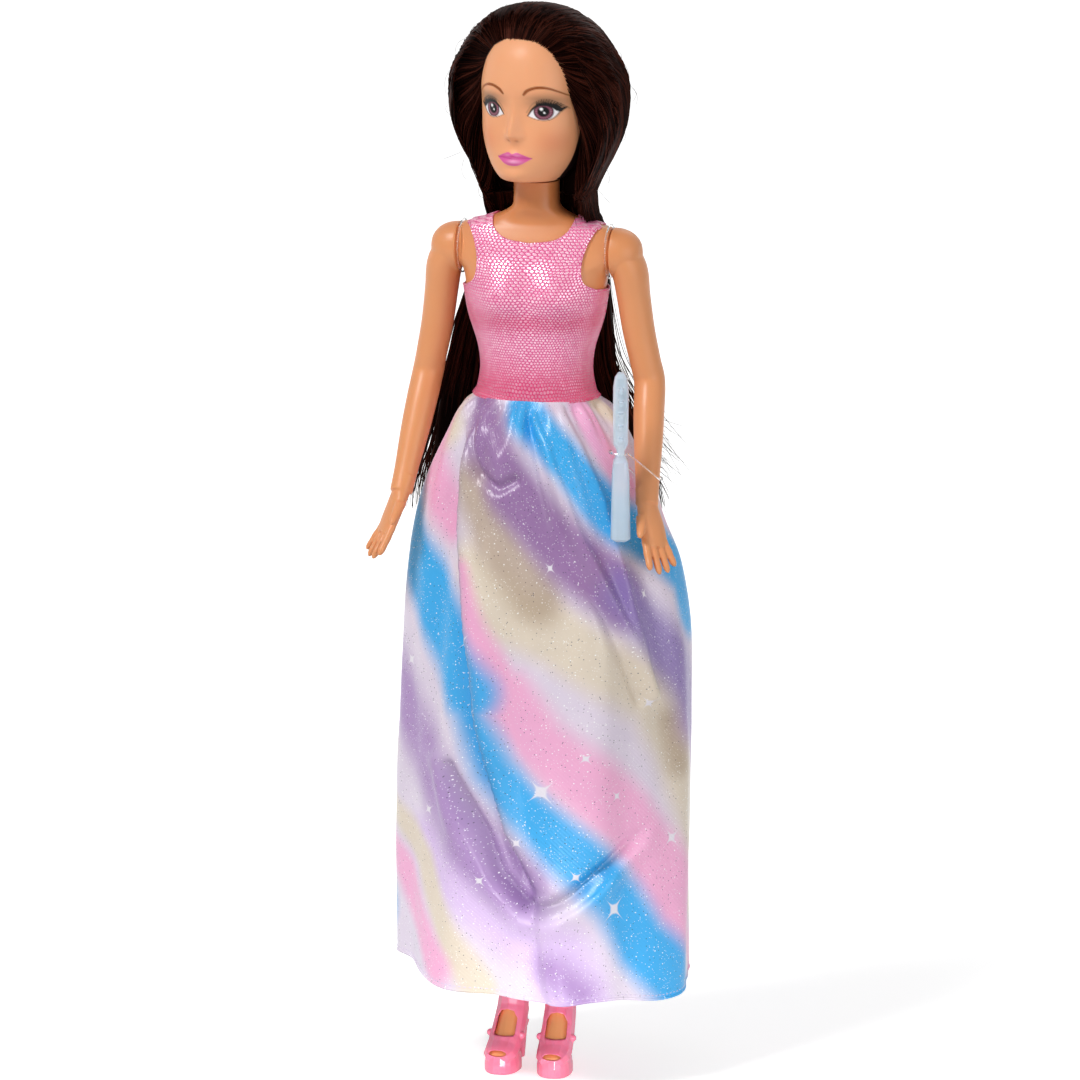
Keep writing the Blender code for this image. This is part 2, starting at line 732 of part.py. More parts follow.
# Fingers: share of the palm's half-width, of the longest finger, and how far it leans aside
FINGER_PLACE_SHARES = [(-0.76, 0.86, -0.13), (-0.26, 1.00, -0.03), (0.24, 0.96, 0.06), (0.72, 0.78, 0.16)]
# Finger and thumb rings: share of the length, then of the radius
FINGER_SHARES = [(0, 1.0), (0.45, 1.02), (0.8, 0.88), (0.95, 0.62), (1.0, 0.30)]
THUMB_SHARES = [(0, 1.25), (0.4, 1.1), (0.75, 0.95), (0.93, 0.65), (1.0, 0.3)]


def make_hand():
    """The left hand: a palm, four fingers close together and a thumb, seen from its back."""
    wrist, end = Vector(WRIST), Vector(PALM_END)
    reach = (end - wrist).normalized()
    across = Vector((math.cos(HAND_TURN), math.sin(HAND_TURN), 0))
    across = (across - reach * across.dot(reach)).normalized()
    back = across.cross(reach).normalized()

    def ring(middle, half, thick, count=10):
        points = []
        for i in range(count):
            angle = 2 * math.pi * i / count
            points.append(middle + across * half * math.cos(angle) + back * thick * math.sin(angle))
        return points

    rings = []
    for share, half, thick in PALM_SHARES:
        middle = wrist.lerp(end, share)
        rings.append(ring(middle, PALM_HALF_WIDTH * half, PALM_HALF_THICKNESS * thick))
    hand = loft("hand", rings)
    for place, length_share, fan in FINGER_PLACE_SHARES:
        root = end + across * PALM_HALF_WIDTH * place - reach * FINGER_RADIUS
        way = (reach + across * fan).normalized()
        length = FINGER_LENGTH * length_share + FINGER_RADIUS
        rings = []
        for share, size in FINGER_SHARES:
            middle = root + way * length * share - back * FINGER_RADIUS * share
            rings.append(ring(middle, FINGER_RADIUS * size, FINGER_RADIUS * size, 8))
        join(hand, loft("finger", rings))
    root = wrist.lerp(end, 0.25) - across * PALM_HALF_WIDTH * 0.62
    way = (reach * 0.93 - across * 0.45 - back * 0.25).normalized()
    rings = []
    for share, size in THUMB_SHARES:
        middle = root + way * THUMB_LENGTH * share
        rings.append(ring(middle, THUMB_RADIUS * size, THUMB_RADIUS * size, 8))
    join(hand, loft("thumb", rings))
    return hand


# Leg rows: share of the hips' height, of half the feet's spacing, then shares of the thigh's half-width:
# half-width, half-depth and set-back
LEG_SHARES = [
    (1.000, 1.46, 0.960, 1.100, 0.068),
    (0.934, 1.46, 1.000, 1.120, 0.045),
    (0.8235, 1.34, 0.910, 1.000, 0.000),
    (0.669, 1.18, 0.700, 0.750, 0.000),
    (0.559, 1.12, 0.600, 0.630, 0.000),
    (0.450, 1.09, 0.600, 0.660, 0.114),
    (0.329, 1.05, 0.460, 0.500, 0.114),
    (0.191, 1.00, 0.336, 0.369, 0.068),
]
# Hip rows: share of the hip disc's radius above its middle, then shares of the hips' half-width, the chest's
# front depth and the hips' back depth
HIP_SHARES = [
    (-1.1, 0.98, 0.653, 0.933),
    (-0.5, 1.00, 0.667, 1.000),
    (0.0, 1.00, 0.667, 1.000),
    (0.5, 1.00, 0.693, 0.983),
    (1.1, 0.94, 0.707, 0.867),
]


# Foot rows: shares of the reach forward, of the ankle's height, of the half-width, and of that for the depth
FOOT_SHARES = [
    (-0.03, 1.00, 0.76, 0.84),
    (-0.06, 0.81, 0.79, 0.95),
    (0.00, 0.645, 0.87, 1.02),
    (0.22, 0.48, 0.92, 0.90),
    (0.47, 0.345, 0.97, 0.70),
    (0.69, 0.262, 1.00, 0.52),
    (0.87, 0.218, 0.95, 0.39),
    (1.00, 0.198, 0.68, 0.26),
]


def foot_solid(name, outward=0.0, top=None):
    """The left foot on its own, on tiptoe, as far up as the ankle."""
    points, widths, depths = [], [], []
    if top:
        points.append((0, 0.03 * FOOT_REACH, top))
        widths.append(0.76 * FOOT_HALF_WIDTH)
        depths.append(0.84 * FOOT_HALF_WIDTH)
    for forward, up, wide, deep in FOOT_SHARES:
        points.append((0, -forward * FOOT_REACH, up * ANKLE_HEIGHT))
        widths.append(wide * FOOT_HALF_WIDTH)
        depths.append(deep * FOOT_HALF_WIDTH)
    foot = loft(name, along(points, widths, depths, [0] * len(points), LEG_SEGMENTS))
    heel_top = (0, 0.10 * FOOT_REACH, 0.66 * ANKLE_HEIGHT)
    heel_tip = (0, 0.27 * FOOT_REACH, 0.50 * ANKLE_HEIGHT)
    heel = cylinder("heel", heel_top, heel_tip, 0.80 * FOOT_HALF_WIDTH, 0.52 * FOOT_HALF_WIDTH, 14)
    join(foot, heel)
    if outward:
        swell(foot, outward)
    return foot


def place_foot(made):
    made.data.transform(Matrix.Rotation(TOE_OUT, 4, "Z"))
    made.data.transform(Matrix.Translation((LEG_SPACING / 2, 0, 0)))
    return made


def mirrored(made, sign):
    if sign < 0:
        made.data.transform(Matrix.Scale(-1, 4, (1, 0, 0)))
        facing_out(made)
    return made


def make_leg(sign, name, look):
    """A leg with its hip disc, foot and flanged peg."""
    rings = []
    for up, aside, wide, thick, aft in LEG_SHARES:
        middle, back = aside * LEG_SPACING / 2, aft * THIGH_HALF_WIDTH
        half, deep = wide * THIGH_HALF_WIDTH, thick * THIGH_HALF_WIDTH
        ring = []
        for i in range(LEG_SEGMENTS):
            angle = 2 * math.pi * i / LEG_SEGMENTS
            ring.append((middle + half * math.cos(angle), back + deep * math.sin(angle), up * HIP_HEIGHT))
        rings.append(ring)
    leg = loft(name, rings)
    face = PELVIS_HALF_WIDTH + CLEARANCE
    under = HIP_RADIUS + 2.2 * CLEARANCE
    cut(leg, cylinder("pelvis_room", (-face, 0, HIP_HEIGHT), (face, 0, HIP_HEIGHT), under, segments=36))
    rings = []
    for up, wide, fore, aft in HIP_SHARES:
        half, front, back = wide * HIP_HALF_WIDTH, fore * CHEST_FRONT, aft * HIP_BACK
        height = HIP_HEIGHT + up * HIP_RADIUS
        rings.append(egg_ring((0, 0), half, front, back, height, TORSO_SEGMENTS, TORSO_POWER))
    block = loft("hip", rings)
    disc = cylinder("disc", (face, 0, HIP_HEIGHT), (2 * OVERRUN, 0, HIP_HEIGHT), HIP_RADIUS, segments=36)
    join(leg, keep_inside(block, disc))
    foot_top = LEG_SHARES[-1][0] * HIP_HEIGHT + ANKLE_RADIUS
    join(leg, place_foot(foot_solid("foot", top=foot_top)))
    flange_out = PELVIS_HALF_WIDTH - WALL - CLEARANCE
    flange_in = flange_out - PEG_FLANGE_THICKNESS
    peg_ends = (flange_in, 0, HIP_HEIGHT), (face + WALL, 0, HIP_HEIGHT)
    join(leg, cylinder("leg_peg", *peg_ends, LEG_PEG_RADIUS))
    flange_ends = (flange_in - CLEARANCE, 0, HIP_HEIGHT), (flange_out, 0, HIP_HEIGHT)
    join(leg, cylinder("leg_flange", *flange_ends, LEG_FLANGE_RADIUS))
    return finish(mirrored(leg, sign), name, look)


# Platform rings: share of the platform's height, then of the sole's size
PLATFORM_SHARES = [(0, 0.93), (0.2, 1.0), (1.0, 1.0), (1.9, 0.93)]
# Arch rings: shares of the way to the toe, of the platform's height, then of the sole's half-width and of the
# platform's height for the arch's own width and thickness
ARCH_SHARES = [
    (0.90, 0.9, 0.80, 0.40),
    (0.45, 1.5, 0.72, 0.40),
    (0.00, 3.1, 0.68, 0.45),
    (-0.60, 4.1, 0.62, 0.50),
]
# Instep window: shares of its half-width and of its rise above the vamp
INSTEP_SHARES = [
    (1.0, 0.0),
    (0.97, 0.62),
    (0.62, 0.92),
    (0.0, 1.0),
    (-0.62, 0.92),
    (-0.97, 0.62),
    (-1.0, 0.0),
]
# Toe window: shares of the foot's reach and of the ankle's height, at its two ends
TOE_WINDOW_SHARES = [(0.80, 0.205), (1.5, 0.30)]


def make_shoe(sign, name, look):
    """A soft moulded peep-toe shoe: platform, heel, vamp and ankle strap in one."""
    shoe = foot_solid(name, CLEARANCE + SHOE_WALL)
    above = box("above", (-OVERRUN, -OVERRUN, SHOE_TOP), (OVERRUN, OVERRUN, 2 * ANKLE_HEIGHT))
    cut(shoe, above)
    toe = -0.62 * FOOT_REACH
    sole_half = FOOT_HALF_WIDTH + CLEARANCE + SHOE_WALL
    front, back = 0.50 * FOOT_REACH, 0.34 * FOOT_REACH
    platform = []
    for up, size in PLATFORM_SHARES:
        shape = sole_half * size, front * size, back * size, up * PLATFORM_HEIGHT
        platform.append(egg_ring((0, toe), *shape, 20, 2.3))
    sole = loft("platform", platform)
    arch_points, half, deep = [], [], []
    for forward, up, wide, thick in ARCH_SHARES:
        arch_points.append((0, forward * toe, up * PLATFORM_HEIGHT))
        half.append(wide * sole_half)
        deep.append(thick * PLATFORM_HEIGHT)
    arch = loft("arch", along(arch_points, half, deep, [0] * len(half), 10))
    heel_foot = (0, HEEL_PLACE, 0)
    heel_seat = (0, HEEL_PLACE, 0.5 * ANKLE_HEIGHT)
    join(arch, cylinder("heel_post", heel_foot, heel_seat, HEEL_RADIUS, 1.5 * HEEL_RADIUS, 14))
    join(sole, arch)
    join(shoe, sole)
    for side in (-1, 1):
        place = Vector((side * 0.92 * sole_half, -0.47 * FOOT_REACH, VAMP_TOP - 0.2 * NUB_RADIUS))
        join(shoe, ball("nub", place, NUB_RADIUS))
    cut(shoe, foot_solid("foot_room", CLEARANCE, 2 * ANKLE_HEIGHT))
    window_top = SHOE_TOP - STRAP_WIDTH
    window_half = 0.80 * FOOT_HALF_WIDTH
    rise = window_top - VAMP_TOP
    outline = [(window_half * out, VAMP_TOP + rise * up) for out, up in INSTEP_SHARES]
    cut(shoe, prism("instep_window", outline, "Y", -OVERRUN, -0.06 * FOOT_REACH))
    rings = []
    for forward, up in TOE_WINDOW_SHARES:
        middle = up * ANKLE_HEIGHT + CLEARANCE
        ring = []
        for i in range(12):
            angle = 2 * math.pi * i / 12
            across, above = TOE_WINDOW_WIDTH / 2 * math.cos(angle), TOE_WINDOW_HEIGHT / 2 * math.sin(angle)
            ring.append((across, -forward * FOOT_REACH, middle + above))
        rings.append(ring)
    cut(shoe, loft("toe_window", rings))
    return finish(mirrored(place_foot(shoe), sign), name, look)


# Armhole: shares of the way out from its inmost point to the strap's edge, and of its height
ARMHOLE_SHARES = [
    (1.0, 1.0),
    (0.86, 0.84),
    (0.27, 0.60),
    (0.0, 0.355),
    (0.16, 0.14),
    (0.84, 0.03),
    (1.6, 0.0),
]
# Neckline: shares of its half-width and of its depth
NECKLINE_SHARES = [(1.0, 1.0), (0.95, 0.55), (0.80, 0.28), (0.52, 0.09), (0.0, 0.0)]


def armhole_outline(sign):
    run, rise = STRAP_OUTER - ARMHOLE_IN, STRAP_TOP - ARMHOLE_BOTTOM
    outline = []
    for out, up in ARMHOLE_SHARES:
        outline.append((sign * (ARMHOLE_IN + out * run), ARMHOLE_BOTTOM + up * rise))
    outline.append((sign * 2 * SHOULDER_HALF_WIDTH, ARMHOLE_BOTTOM))
    outline.append((sign * 2 * SHOULDER_HALF_WIDTH, STRAP_TOP))
    return outline


def neckline_outline(bottom):
    rise = STRAP_TOP - bottom
    right = [(NECKLINE_HALF_WIDTH * out, bottom + rise * up) for out, up in NECKLINE_SHARES]
    left = [(-x, z) for x, z in reversed(right[:-1])]
    return right + left


def fabric_shell(name, inner, outer):
    """A layer over the torso, between two distances from it."""
    shell = torso_solid(name, outer)
    cut(shell, torso_solid("inside", inner))
    return shell


def trimmed(shell, low, high):
    return keep_inside(shell, box("trim", low, high))


def make_bodice(look):
    shell = fabric_shell("bodice", CLEARANCE, CLEARANCE + FABRIC)
    for sign in (-1, 1):
        cut(shell, prism("armhole", armhole_outline(sign), "Y", -OVERRUN, OVERRUN))
    far = 2 * OVERRUN
    panels = []
    front = copy_of(shell, "bodice_front")
    cut(front, prism("neckline", neckline_outline(NECKLINE_HEIGHT), "Y", -OVERRUN, OVERRUN))
    trimmed(front, (-far, -far, BODICE_HEM), (far, SPLIT_DEPTH - CLEARANCE / 2, STRAP_TOP))
    panels.append(finish(front, "bodice_front", look))
    cut(shell, prism("back_neckline", neckline_outline(BACK_NECKLINE_HEIGHT), "Y", -OVERRUN, OVERRUN))
    for name, low, high in (("bodice_back_right", -far, -SLIT / 2), ("bodice_back_left", SLIT / 2, far)):
        panel = copy_of(shell, name)
        trimmed(panel, (low, SPLIT_DEPTH + CLEARANCE / 2, BODICE_HEM), (high, far, STRAP_TOP))
        panels.append(finish(panel, name, look))
    bpy.data.objects.remove(shell, do_unlink=True)
    return panels


def make_closure(look):
    start = 2 * CLEARANCE + FABRIC
    strip = fabric_shell("back_closure", start, start + FABRIC / 2)
    low = (-CLOSURE_HALF_WIDTH, 0, CLOSURE_BOTTOM)
    return finish(trimmed(strip, low, (CLOSURE_HALF_WIDTH, OVERRUN, CLOSURE_TOP)), "back_closure", look)


def make_waist_tape(look):
    tape = fabric_shell("waist_tape", CLEARANCE, CLEARANCE + FABRIC * 2 / 3)
    top = BODICE_HEM - CLEARANCE
    low = (-2 * OVERRUN, -2 * OVERRUN, top - WAIST_TAPE_HEIGHT)
    return finish(trimmed(tape, low, (2 * OVERRUN, 2 * OVERRUN, top)), "waist_tape", look)


# Skirt rows: share of the way down, then shares of the half-width, front, back, and of the sideways shift
SKIRT_SHARES = [
    (0.000, 0.452, 0.395, 0.365, 0.00),
    (0.016, 0.492, 0.445, 0.402, 0.00),
    (0.050, 0.575, 0.545, 0.490, 0.10),
    (0.090, 0.665, 0.640, 0.560, 0.20),
    (0.140, 0.755, 0.690, 0.630, 0.30),
    (0.200, 0.822, 0.740, 0.700, 0.32),
    (0.280, 0.905, 0.835, 0.790, 0.80),
    (0.400, 0.965, 0.930, 0.870, 1.00),
    (0.590, 0.990, 0.970, 0.950, 0.90),
    (0.800, 1.000, 1.000, 1.000, 0.80),
    (1.000, 1.000, 1.010, 1.000, 0.75),
]
SKIRT_RING_SHARES = [0, 0.016, 0.035, 0.07, 0.12, 0.19, 0.28, 0.40, 0.55, 0.70, 0.85, 1.0]


def skirt_ring(share, inward, segments):
    """One level ring of the skirt, gathered at the waist and falling in long folds."""
    half = SKIRT_HALF_WIDTH * spread(SKIRT_SHARES, share, 1)
    front = SKIRT_FRONT * spread(SKIRT_SHARES, share, 2)
    back = SKIRT_BACK * spread(SKIRT_SHARES, share, 3)
    shift = SKIRT_SHIFT * spread(SKIRT_SHARES, share, 4)
    height = SKIRT_TOP - share * (SKIRT_TOP - SKIRT_HEM)
    gathered = GATHER_DEPTH * min(share / 0.03, 1) * math.exp(-share / 0.12)
    folded = FOLD_DEPTH * min(share / 0.25, 1)
    ring = []
    for i, (x, y, z) in enumerate(egg_ring((0, 0), half, front, back, height, segments)):
        angle = 2 * math.pi * (i + 0.5) / segments
        depth = gathered * math.cos(GATHERS * angle) + folded * math.cos(FOLDS * angle + 2.2 * share)
        reach = math.hypot(x, y)
        size = (reach + depth - inward) / reach
        ring.append((x * size + shift, y * size - 0.6 * shift, z))
    return ring


def make_skirt(look):
    """The skirt as a thin open tube: its outer face, its hem, its inner face and its top edge."""
    outer = [skirt_ring(share, 0, SKIRT_SEGMENTS) for share in SKIRT_RING_SHARES]
    inner = [skirt_ring(share, SKIRT_THICKNESS, SKIRT_SEGMENTS) for share in SKIRT_RING_SHARES]
    rings = outer + inner[::-1]
    points = [p for ring in rings for p in ring]
    faces = []
    for i in range(len(rings)):
        n = (i + 1) % len(rings)
        for j in range(SKIRT_SEGMENTS):
            k = (j + 1) % SKIRT_SEGMENTS
            a, b = i * SKIRT_SEGMENTS, n * SKIRT_SEGMENTS
            faces.append((a + j, a + k, b + k, b + j))
    return finish(mesh_object("skirt", points, faces), "skirt", look)


# Hair rows: share of the height, then shares of the half-width, front and back
HAIR_SHARES = [
    (0.000, 0.61, 0.73, 0.70),
    (0.115, 0.71, 0.80, 0.79),
    (0.250, 0.86, 0.90, 0.90),
    (0.380, 0.97, 0.96, 0.97),
    (0.520, 1.00, 1.00, 1.00),
    (0.640, 0.975, 1.00, 1.00),
    (0.750, 0.850, 0.97, 0.93),
    (0.850, 0.715, 0.89, 0.79),
    (0.905, 0.590, 0.78, 0.65),
    (0.958, 0.430, 0.60, 0.47),
    (0.992, 0.210, 0.32, 0.24),
    (1.000, 0.040, 0.06, 0.05),
]


def make_hair_crown(look):
    """The rooted hair as one thick cap round the head, open over the face and round the neck."""
    rings = []
    for i in range(HAIR_RING_STEPS + 1):
        share = math.sin(math.pi / 2 * i / HAIR_RING_STEPS)
        half = HAIR_HALF_WIDTH * spread(HAIR_SHARES, share, 1)
        front = HAIR_FRONT * spread(HAIR_SHARES, share, 2)
        back = HAIR_BACK * spread(HAIR_SHARES, share, 3)
        height = HAIR_SPLIT + share * (HAIR_TOP - HAIR_SPLIT)
        rings.append(egg_ring((0, 0), half, front, back, height, HAIR_SEGMENTS))
    hair = loft("hair_crown", rings)
    scalp = loft("scalp", head_rings(HEAD_SEGMENTS, HEAD_RING_STEPS))
    cut(hair, swell(scalp, CLEARANCE))
    room = NECK_RADIUS + HAIR_NECK_CLEARANCE
    cut(hair, cylinder("neck_room", (0, 0, HAIR_SPLIT - OVERRUN), (0, 0, HEAD_BOTTOM + HEAD_FLOOR), room))
    rise = HAIRLINE_TOP - HAIRLINE_SIDE
    outline = [
        (-2 * OVERRUN, HAIR_SPLIT - OVERRUN),
        (0.10 * HAIRLINE_FRONT, HAIR_SPLIT - OVERRUN),
        (0.04 * HAIRLINE_FRONT, HAIRLINE_SIDE - 0.9 * rise),
        (-0.12 * HAIRLINE_FRONT, HAIRLINE_SIDE),
        (-0.66 * HAIRLINE_FRONT, HAIRLINE_SIDE + 0.62 * rise),
        (-HAIRLINE_FRONT, HAIRLINE_TOP),
        (-2 * OVERRUN, HAIRLINE_TOP + 0.45 * rise),
    ]
    cut(hair, prism("face_opening", outline, "X", -2 * OVERRUN, 2 * OVERRUN))
    return finish(turn_head(hair), "hair_crown", look)


# Fall rows: share of the way down, then shares of the end's half-width, of its depth for the sides and
# for the middle, and of the sideways shift
FALL_SHARES = [
    (0.000, 0.513, 0.07, 0.306, 0.00),
    (0.040, 0.507, 0.13, 0.360, 0.00),
    (0.072, 0.515, 0.30, 0.390, 0.00),
    (0.115, 0.550, 0.385, 0.432, 0.05),
    (0.230, 0.600, 0.400, 0.463, 0.25),
    (0.400, 0.700, 0.405, 0.480, 0.75),
    (0.535, 0.767, 0.415, 0.510, 0.95),
    (0.625, 0.833, 0.455, 0.610, 1.00),
    (0.715, 0.883, 0.520, 0.725, 1.00),
    (0.830, 0.933, 0.600, 0.850, 1.00),
    (0.940, 0.983, 0.680, 0.960, 1.00),
    (1.000, 1.000, 0.720, 1.000, 1.00),
]


def make_hair_fall(look):
    """The long hair behind the back, as one thick curved sheet."""
    start = HAIR_SPLIT - CLEARANCE
    rings = []
    for share, wide, side, middle, shift in FALL_SHARES:
        height = start - share * (start - FALL_END)
        half, centre = FALL_HALF_WIDTH * wide, -FALL_SHIFT * shift
        inner, outer = [], []
        for i in range(9):
            u = -1 + 2 * i / 8
            inward = FALL_DEPTH * (side + (middle - side) * (1 - abs(u) ** 2.2))
            outward = inward + FALL_THICKNESS * (0.45 + 0.55 * math.sqrt(1 - u * u))
            outer_half = half + 0.2 * FALL_THICKNESS
            inner.append((centre + u * half, inward, height))
            outer.append((centre + u * outer_half, outward, height))
        rings.append(inner + outer[::-1])
    return finish(loft("hair_fall", rings), "hair_fall", look)


def rounded_ring(half, deep, height, count=16, power=4.0):
    return egg_ring((0, 0), half, deep, deep, height, count, power)


def make_comb(look):
    """A toy comb, its teeth towards the doll's front, hanging by its neck from the wrist."""
    wide, deep = COMB_HANDLE_HALF_WIDTH, COMB_HANDLE_HALF_DEPTH
    head, spine = COMB_HEAD_HALF_WIDTH, COMB_SPINE_HALF_DEPTH
    handle, long = COMB_HANDLE_LENGTH, COMB_LENGTH
    edge = COMB_TOOTH / 2
    rings = [
        rounded_ring(wide - edge, deep - edge, 0),
        rounded_ring(wide + edge / 2, deep, edge),
        rounded_ring(wide, deep, 0.8 * handle),
        rounded_ring(0.85 * wide, 0.9 * deep, 0.93 * handle),
        rounded_ring(COMB_NECK_HALF_WIDTH, 0.55 * deep, handle),
        rounded_ring(COMB_NECK_HALF_WIDTH, 0.55 * deep, handle + COMB_TOOTH),
        rounded_ring(head, spine, handle + 2.5 * COMB_TOOTH),
        rounded_ring(head, spine, long - 3 * COMB_TOOTH),
        rounded_ring(0.8 * head, 0.8 * spine, long - COMB_TOOTH),
        rounded_ring(0.4 * head, 0.4 * spine, long),
    ]
    comb = loft("comb", rings)
    first = handle + 3.6 * COMB_TOOTH
    for i in range(COMB_TEETH):
        middle = first + i * COMB_TOOTH_PITCH
        low = (-edge, -spine - COMB_TOOTH_REACH, middle - edge)
        join(comb, box("tooth", low, (edge, 0, middle + edge)))
    comb.data.transform(Matrix.Rotation(COMB_TURN, 4, "Z"))
    comb.data.transform(Matrix.Translation((*COMB_PLACE, COMB_BOTTOM)))
    return finish(comb, "comb", look)


def make_wrist_tie(look):
    """A clear thread looped round the left wrist and the comb's neck."""
    wrist = between(ELBOW, WRIST, 0.79)
    neck = Vector((*COMB_PLACE, COMB_BOTTOM + COMB_HANDLE_LENGTH + COMB_TOOTH / 2))
    away = Vector((wrist.x - neck.x, wrist.y - neck.y, 0)).normalized()
    wrist_room = 0.78 * ARM_RADIUS + THREAD_RADIUS + CLEARANCE
    neck_room = 0.60 * COMB_HANDLE_HALF_DEPTH + THREAD_RADIUS + CLEARANCE
    points = []
    for i in range(TIE_STEPS):
        angle = 2 * math.pi * i / TIE_STEPS
        way = Vector((math.cos(angle), math.sin(angle), 0))
        if way.dot(away) > 0:
            points.append(wrist + way * wrist_room)
        else:
            points.append(neck + way * neck_room)
    return finish(tube_loop("wrist_tie", points, THREAD_RADIUS, look), "wrist_tie", look)


def make_shoulder_tie(sign, name, look):
    """A clear thread looped round the shoulder, just inside the arm's seam."""
    place = sign * SHOULDER_RING_SHARE * SHOULDER_HALF_WIDTH
    deep = SHOULDER_RING_DEPTH + THREAD_RADIUS + CLEARANCE
    tall = SHOULDER_RING_RISE + THREAD_RADIUS + CLEARANCE
    points = []
    for i in range(TIE_STEPS):
        angle = 2 * math.pi * i / TIE_STEPS
        points.append((place, deep * math.cos(angle), SHOULDER_RING_HEIGHT + tall * math.sin(angle)))
    return finish(tube_loop(name, points, THREAD_RADIUS, look), name, look)


def hang_on(made, pivot):
    """Puts an object's origin on its joint's axis and leaves its mesh where it is."""
    made.data.transform(Matrix.Translation(-Vector(pivot)))
    made.location = pivot


def main():
    clear_scene()
    plastic = material("torso_plastic", SKIN, 0.42)
    vinyl = material("head_vinyl", VINYL_SKIN, 0.45)
    hair = material("doll_hair", HAIR, 0.35)
    knit = material("pink_dot_knit", PINK_KNIT, 0.45)
    satin = material("printed_satin", SATIN, 0.35)
    shoe = material("pink_vinyl", SHOE_PINK, 0.30)
    blue = material("clear_blue_plastic", COMB_BLUE, 0.25)
    clear = material("clear_thread", CLEAR, 0.15)
    tape = material("white_tape", TAPE_WHITE, 0.80)
    make_neck_knob(plastic)
    make_torso(plastic)
    make_hair_fall(hair)
    make_bodice(knit)
    make_closure(tape)
    make_waist_tape(tape)
    make_skirt(satin)
    for made in (make_head(vinyl), make_hair_crown(hair)):
        hang_on(made, (0, 0, NECK_TOP))
    shoulder, hip = (SHOULDER_HALF_WIDTH, 0, SHOULDER_HEIGHT), (PELVIS_HALF_WIDTH, 0, HIP_HEIGHT)
    for made in (make_arm(1, "left_arm", plastic), make_comb(blue), make_wrist_tie(clear)):
        hang_on(made, shoulder)
    hang_on(make_arm(-1, "right_arm", plastic), (-shoulder[0], *shoulder[1:]))
    for sign, side in ((-1, "right"), (1, "left")):
        make_shoulder_tie(sign, f"{side}_shoulder_tie", clear)
        for made in (make_leg(sign, f"{side}_leg", plastic), make_shoe(sign, f"{side}_shoe", shoe)):
            hang_on(made, (sign * hip[0], *hip[1:]))


main()
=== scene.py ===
"""Looks of the fashion doll: skin, painted face, rooted hair, dotted knit top, printed satin skirt and vinyl shoes.

Metres, +Z up. The doll faces -Y and its left side is +X.
"""

import math
from contextlib import contextmanager
from functools import partial

import bmesh
import bpy
import numpy as np
from mathutils import Matrix, Vector
from mathutils.bvhtree import BVHTree
from mathutils.geometry import delaunay_2d_cdt


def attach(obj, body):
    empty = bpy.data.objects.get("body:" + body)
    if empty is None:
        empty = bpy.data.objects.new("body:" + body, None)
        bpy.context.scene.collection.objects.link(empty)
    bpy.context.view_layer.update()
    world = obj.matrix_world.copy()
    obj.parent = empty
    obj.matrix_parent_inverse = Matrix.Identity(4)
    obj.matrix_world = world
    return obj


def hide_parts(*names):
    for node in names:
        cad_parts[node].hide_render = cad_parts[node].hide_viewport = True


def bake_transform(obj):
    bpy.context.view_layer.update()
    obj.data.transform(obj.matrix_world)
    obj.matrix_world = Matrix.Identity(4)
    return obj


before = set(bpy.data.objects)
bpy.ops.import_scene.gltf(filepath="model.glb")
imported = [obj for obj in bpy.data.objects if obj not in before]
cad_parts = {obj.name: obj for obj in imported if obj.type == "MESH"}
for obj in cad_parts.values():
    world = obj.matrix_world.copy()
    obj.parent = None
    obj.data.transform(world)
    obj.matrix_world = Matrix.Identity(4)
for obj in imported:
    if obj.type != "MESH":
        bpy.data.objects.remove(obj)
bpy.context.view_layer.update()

# Sizes that the solids share, in metres
HEAD_BOTTOM, HEAD_HEIGHT = 0.2503, 0.0433
HEAD_TURN = math.radians(-16)
CROTCH_HEIGHT, NECK_TOP = 0.1570, 0.2500
BUST_HEIGHT, BUST_SPACING, BUST_SIZE, BUST_RISE = 0.2195, 0.0160, 0.0072, 0.0030
SHOULDER_HALF_WIDTH, SHOULDER_HEIGHT = 0.0211, 0.2308
HIP_HEIGHT, PELVIS_HALF_WIDTH, HIP_RADIUS = 0.1700, 0.0078, 0.0131
CLEARANCE = 0.0003
ELBOW, WRIST, PALM_END = (0.0312, 0.0020, 0.1953), (0.0345, -0.0150, 0.1645), (0.0378, -0.0190, 0.1545)
ARM_RADIUS, ARM_CAP_RADIUS = 0.0046, 0.0068
NECKLINE_HEIGHT, NECKLINE_HALF_WIDTH, BACK_NECKLINE_HEIGHT = 0.2336, 0.0113, 0.2372
STRAP_TOP, STRAP_OUTER, ARMHOLE_IN, ARMHOLE_BOTTOM = 0.2425, 0.0182, 0.0138, 0.2206
BODICE_HEM = 0.1910
SKIRT_TOP, SKIRT_HEM = 0.1906, 0.0280
GATHER_DEPTH, FOLD_DEPTH, GATHERS, FOLDS = 0.0009, 0.0013, 12, 7
HAIR_TOP, HAIR_SPLIT = 0.2980, 0.2456
FALL_END, FALL_THICKNESS = 0.1570, 0.0050
# Each body's half-width, front and back at its widest, and how square its rings are. The skirt also stands a
# little to one side.
HEAD_SIZES, HEAD_POWER = (0.0148, 0.0149, 0.0163), 2.15
TORSO_SIZES, TORSO_POWER = (0.0192, 0.0150, 0.0120), 2.2
SKIRT_SIZES = (0.0405, 0.0325, 0.0325, 0.0040)
HAIR_SIZES = (0.0258, 0.0150, 0.0212)
# The long hair's half-width, its place behind the middle at the sides and at the centre, and its shift
FALL_SIZES = (0.0300, 0.0242, 0.0242, 0.0045)

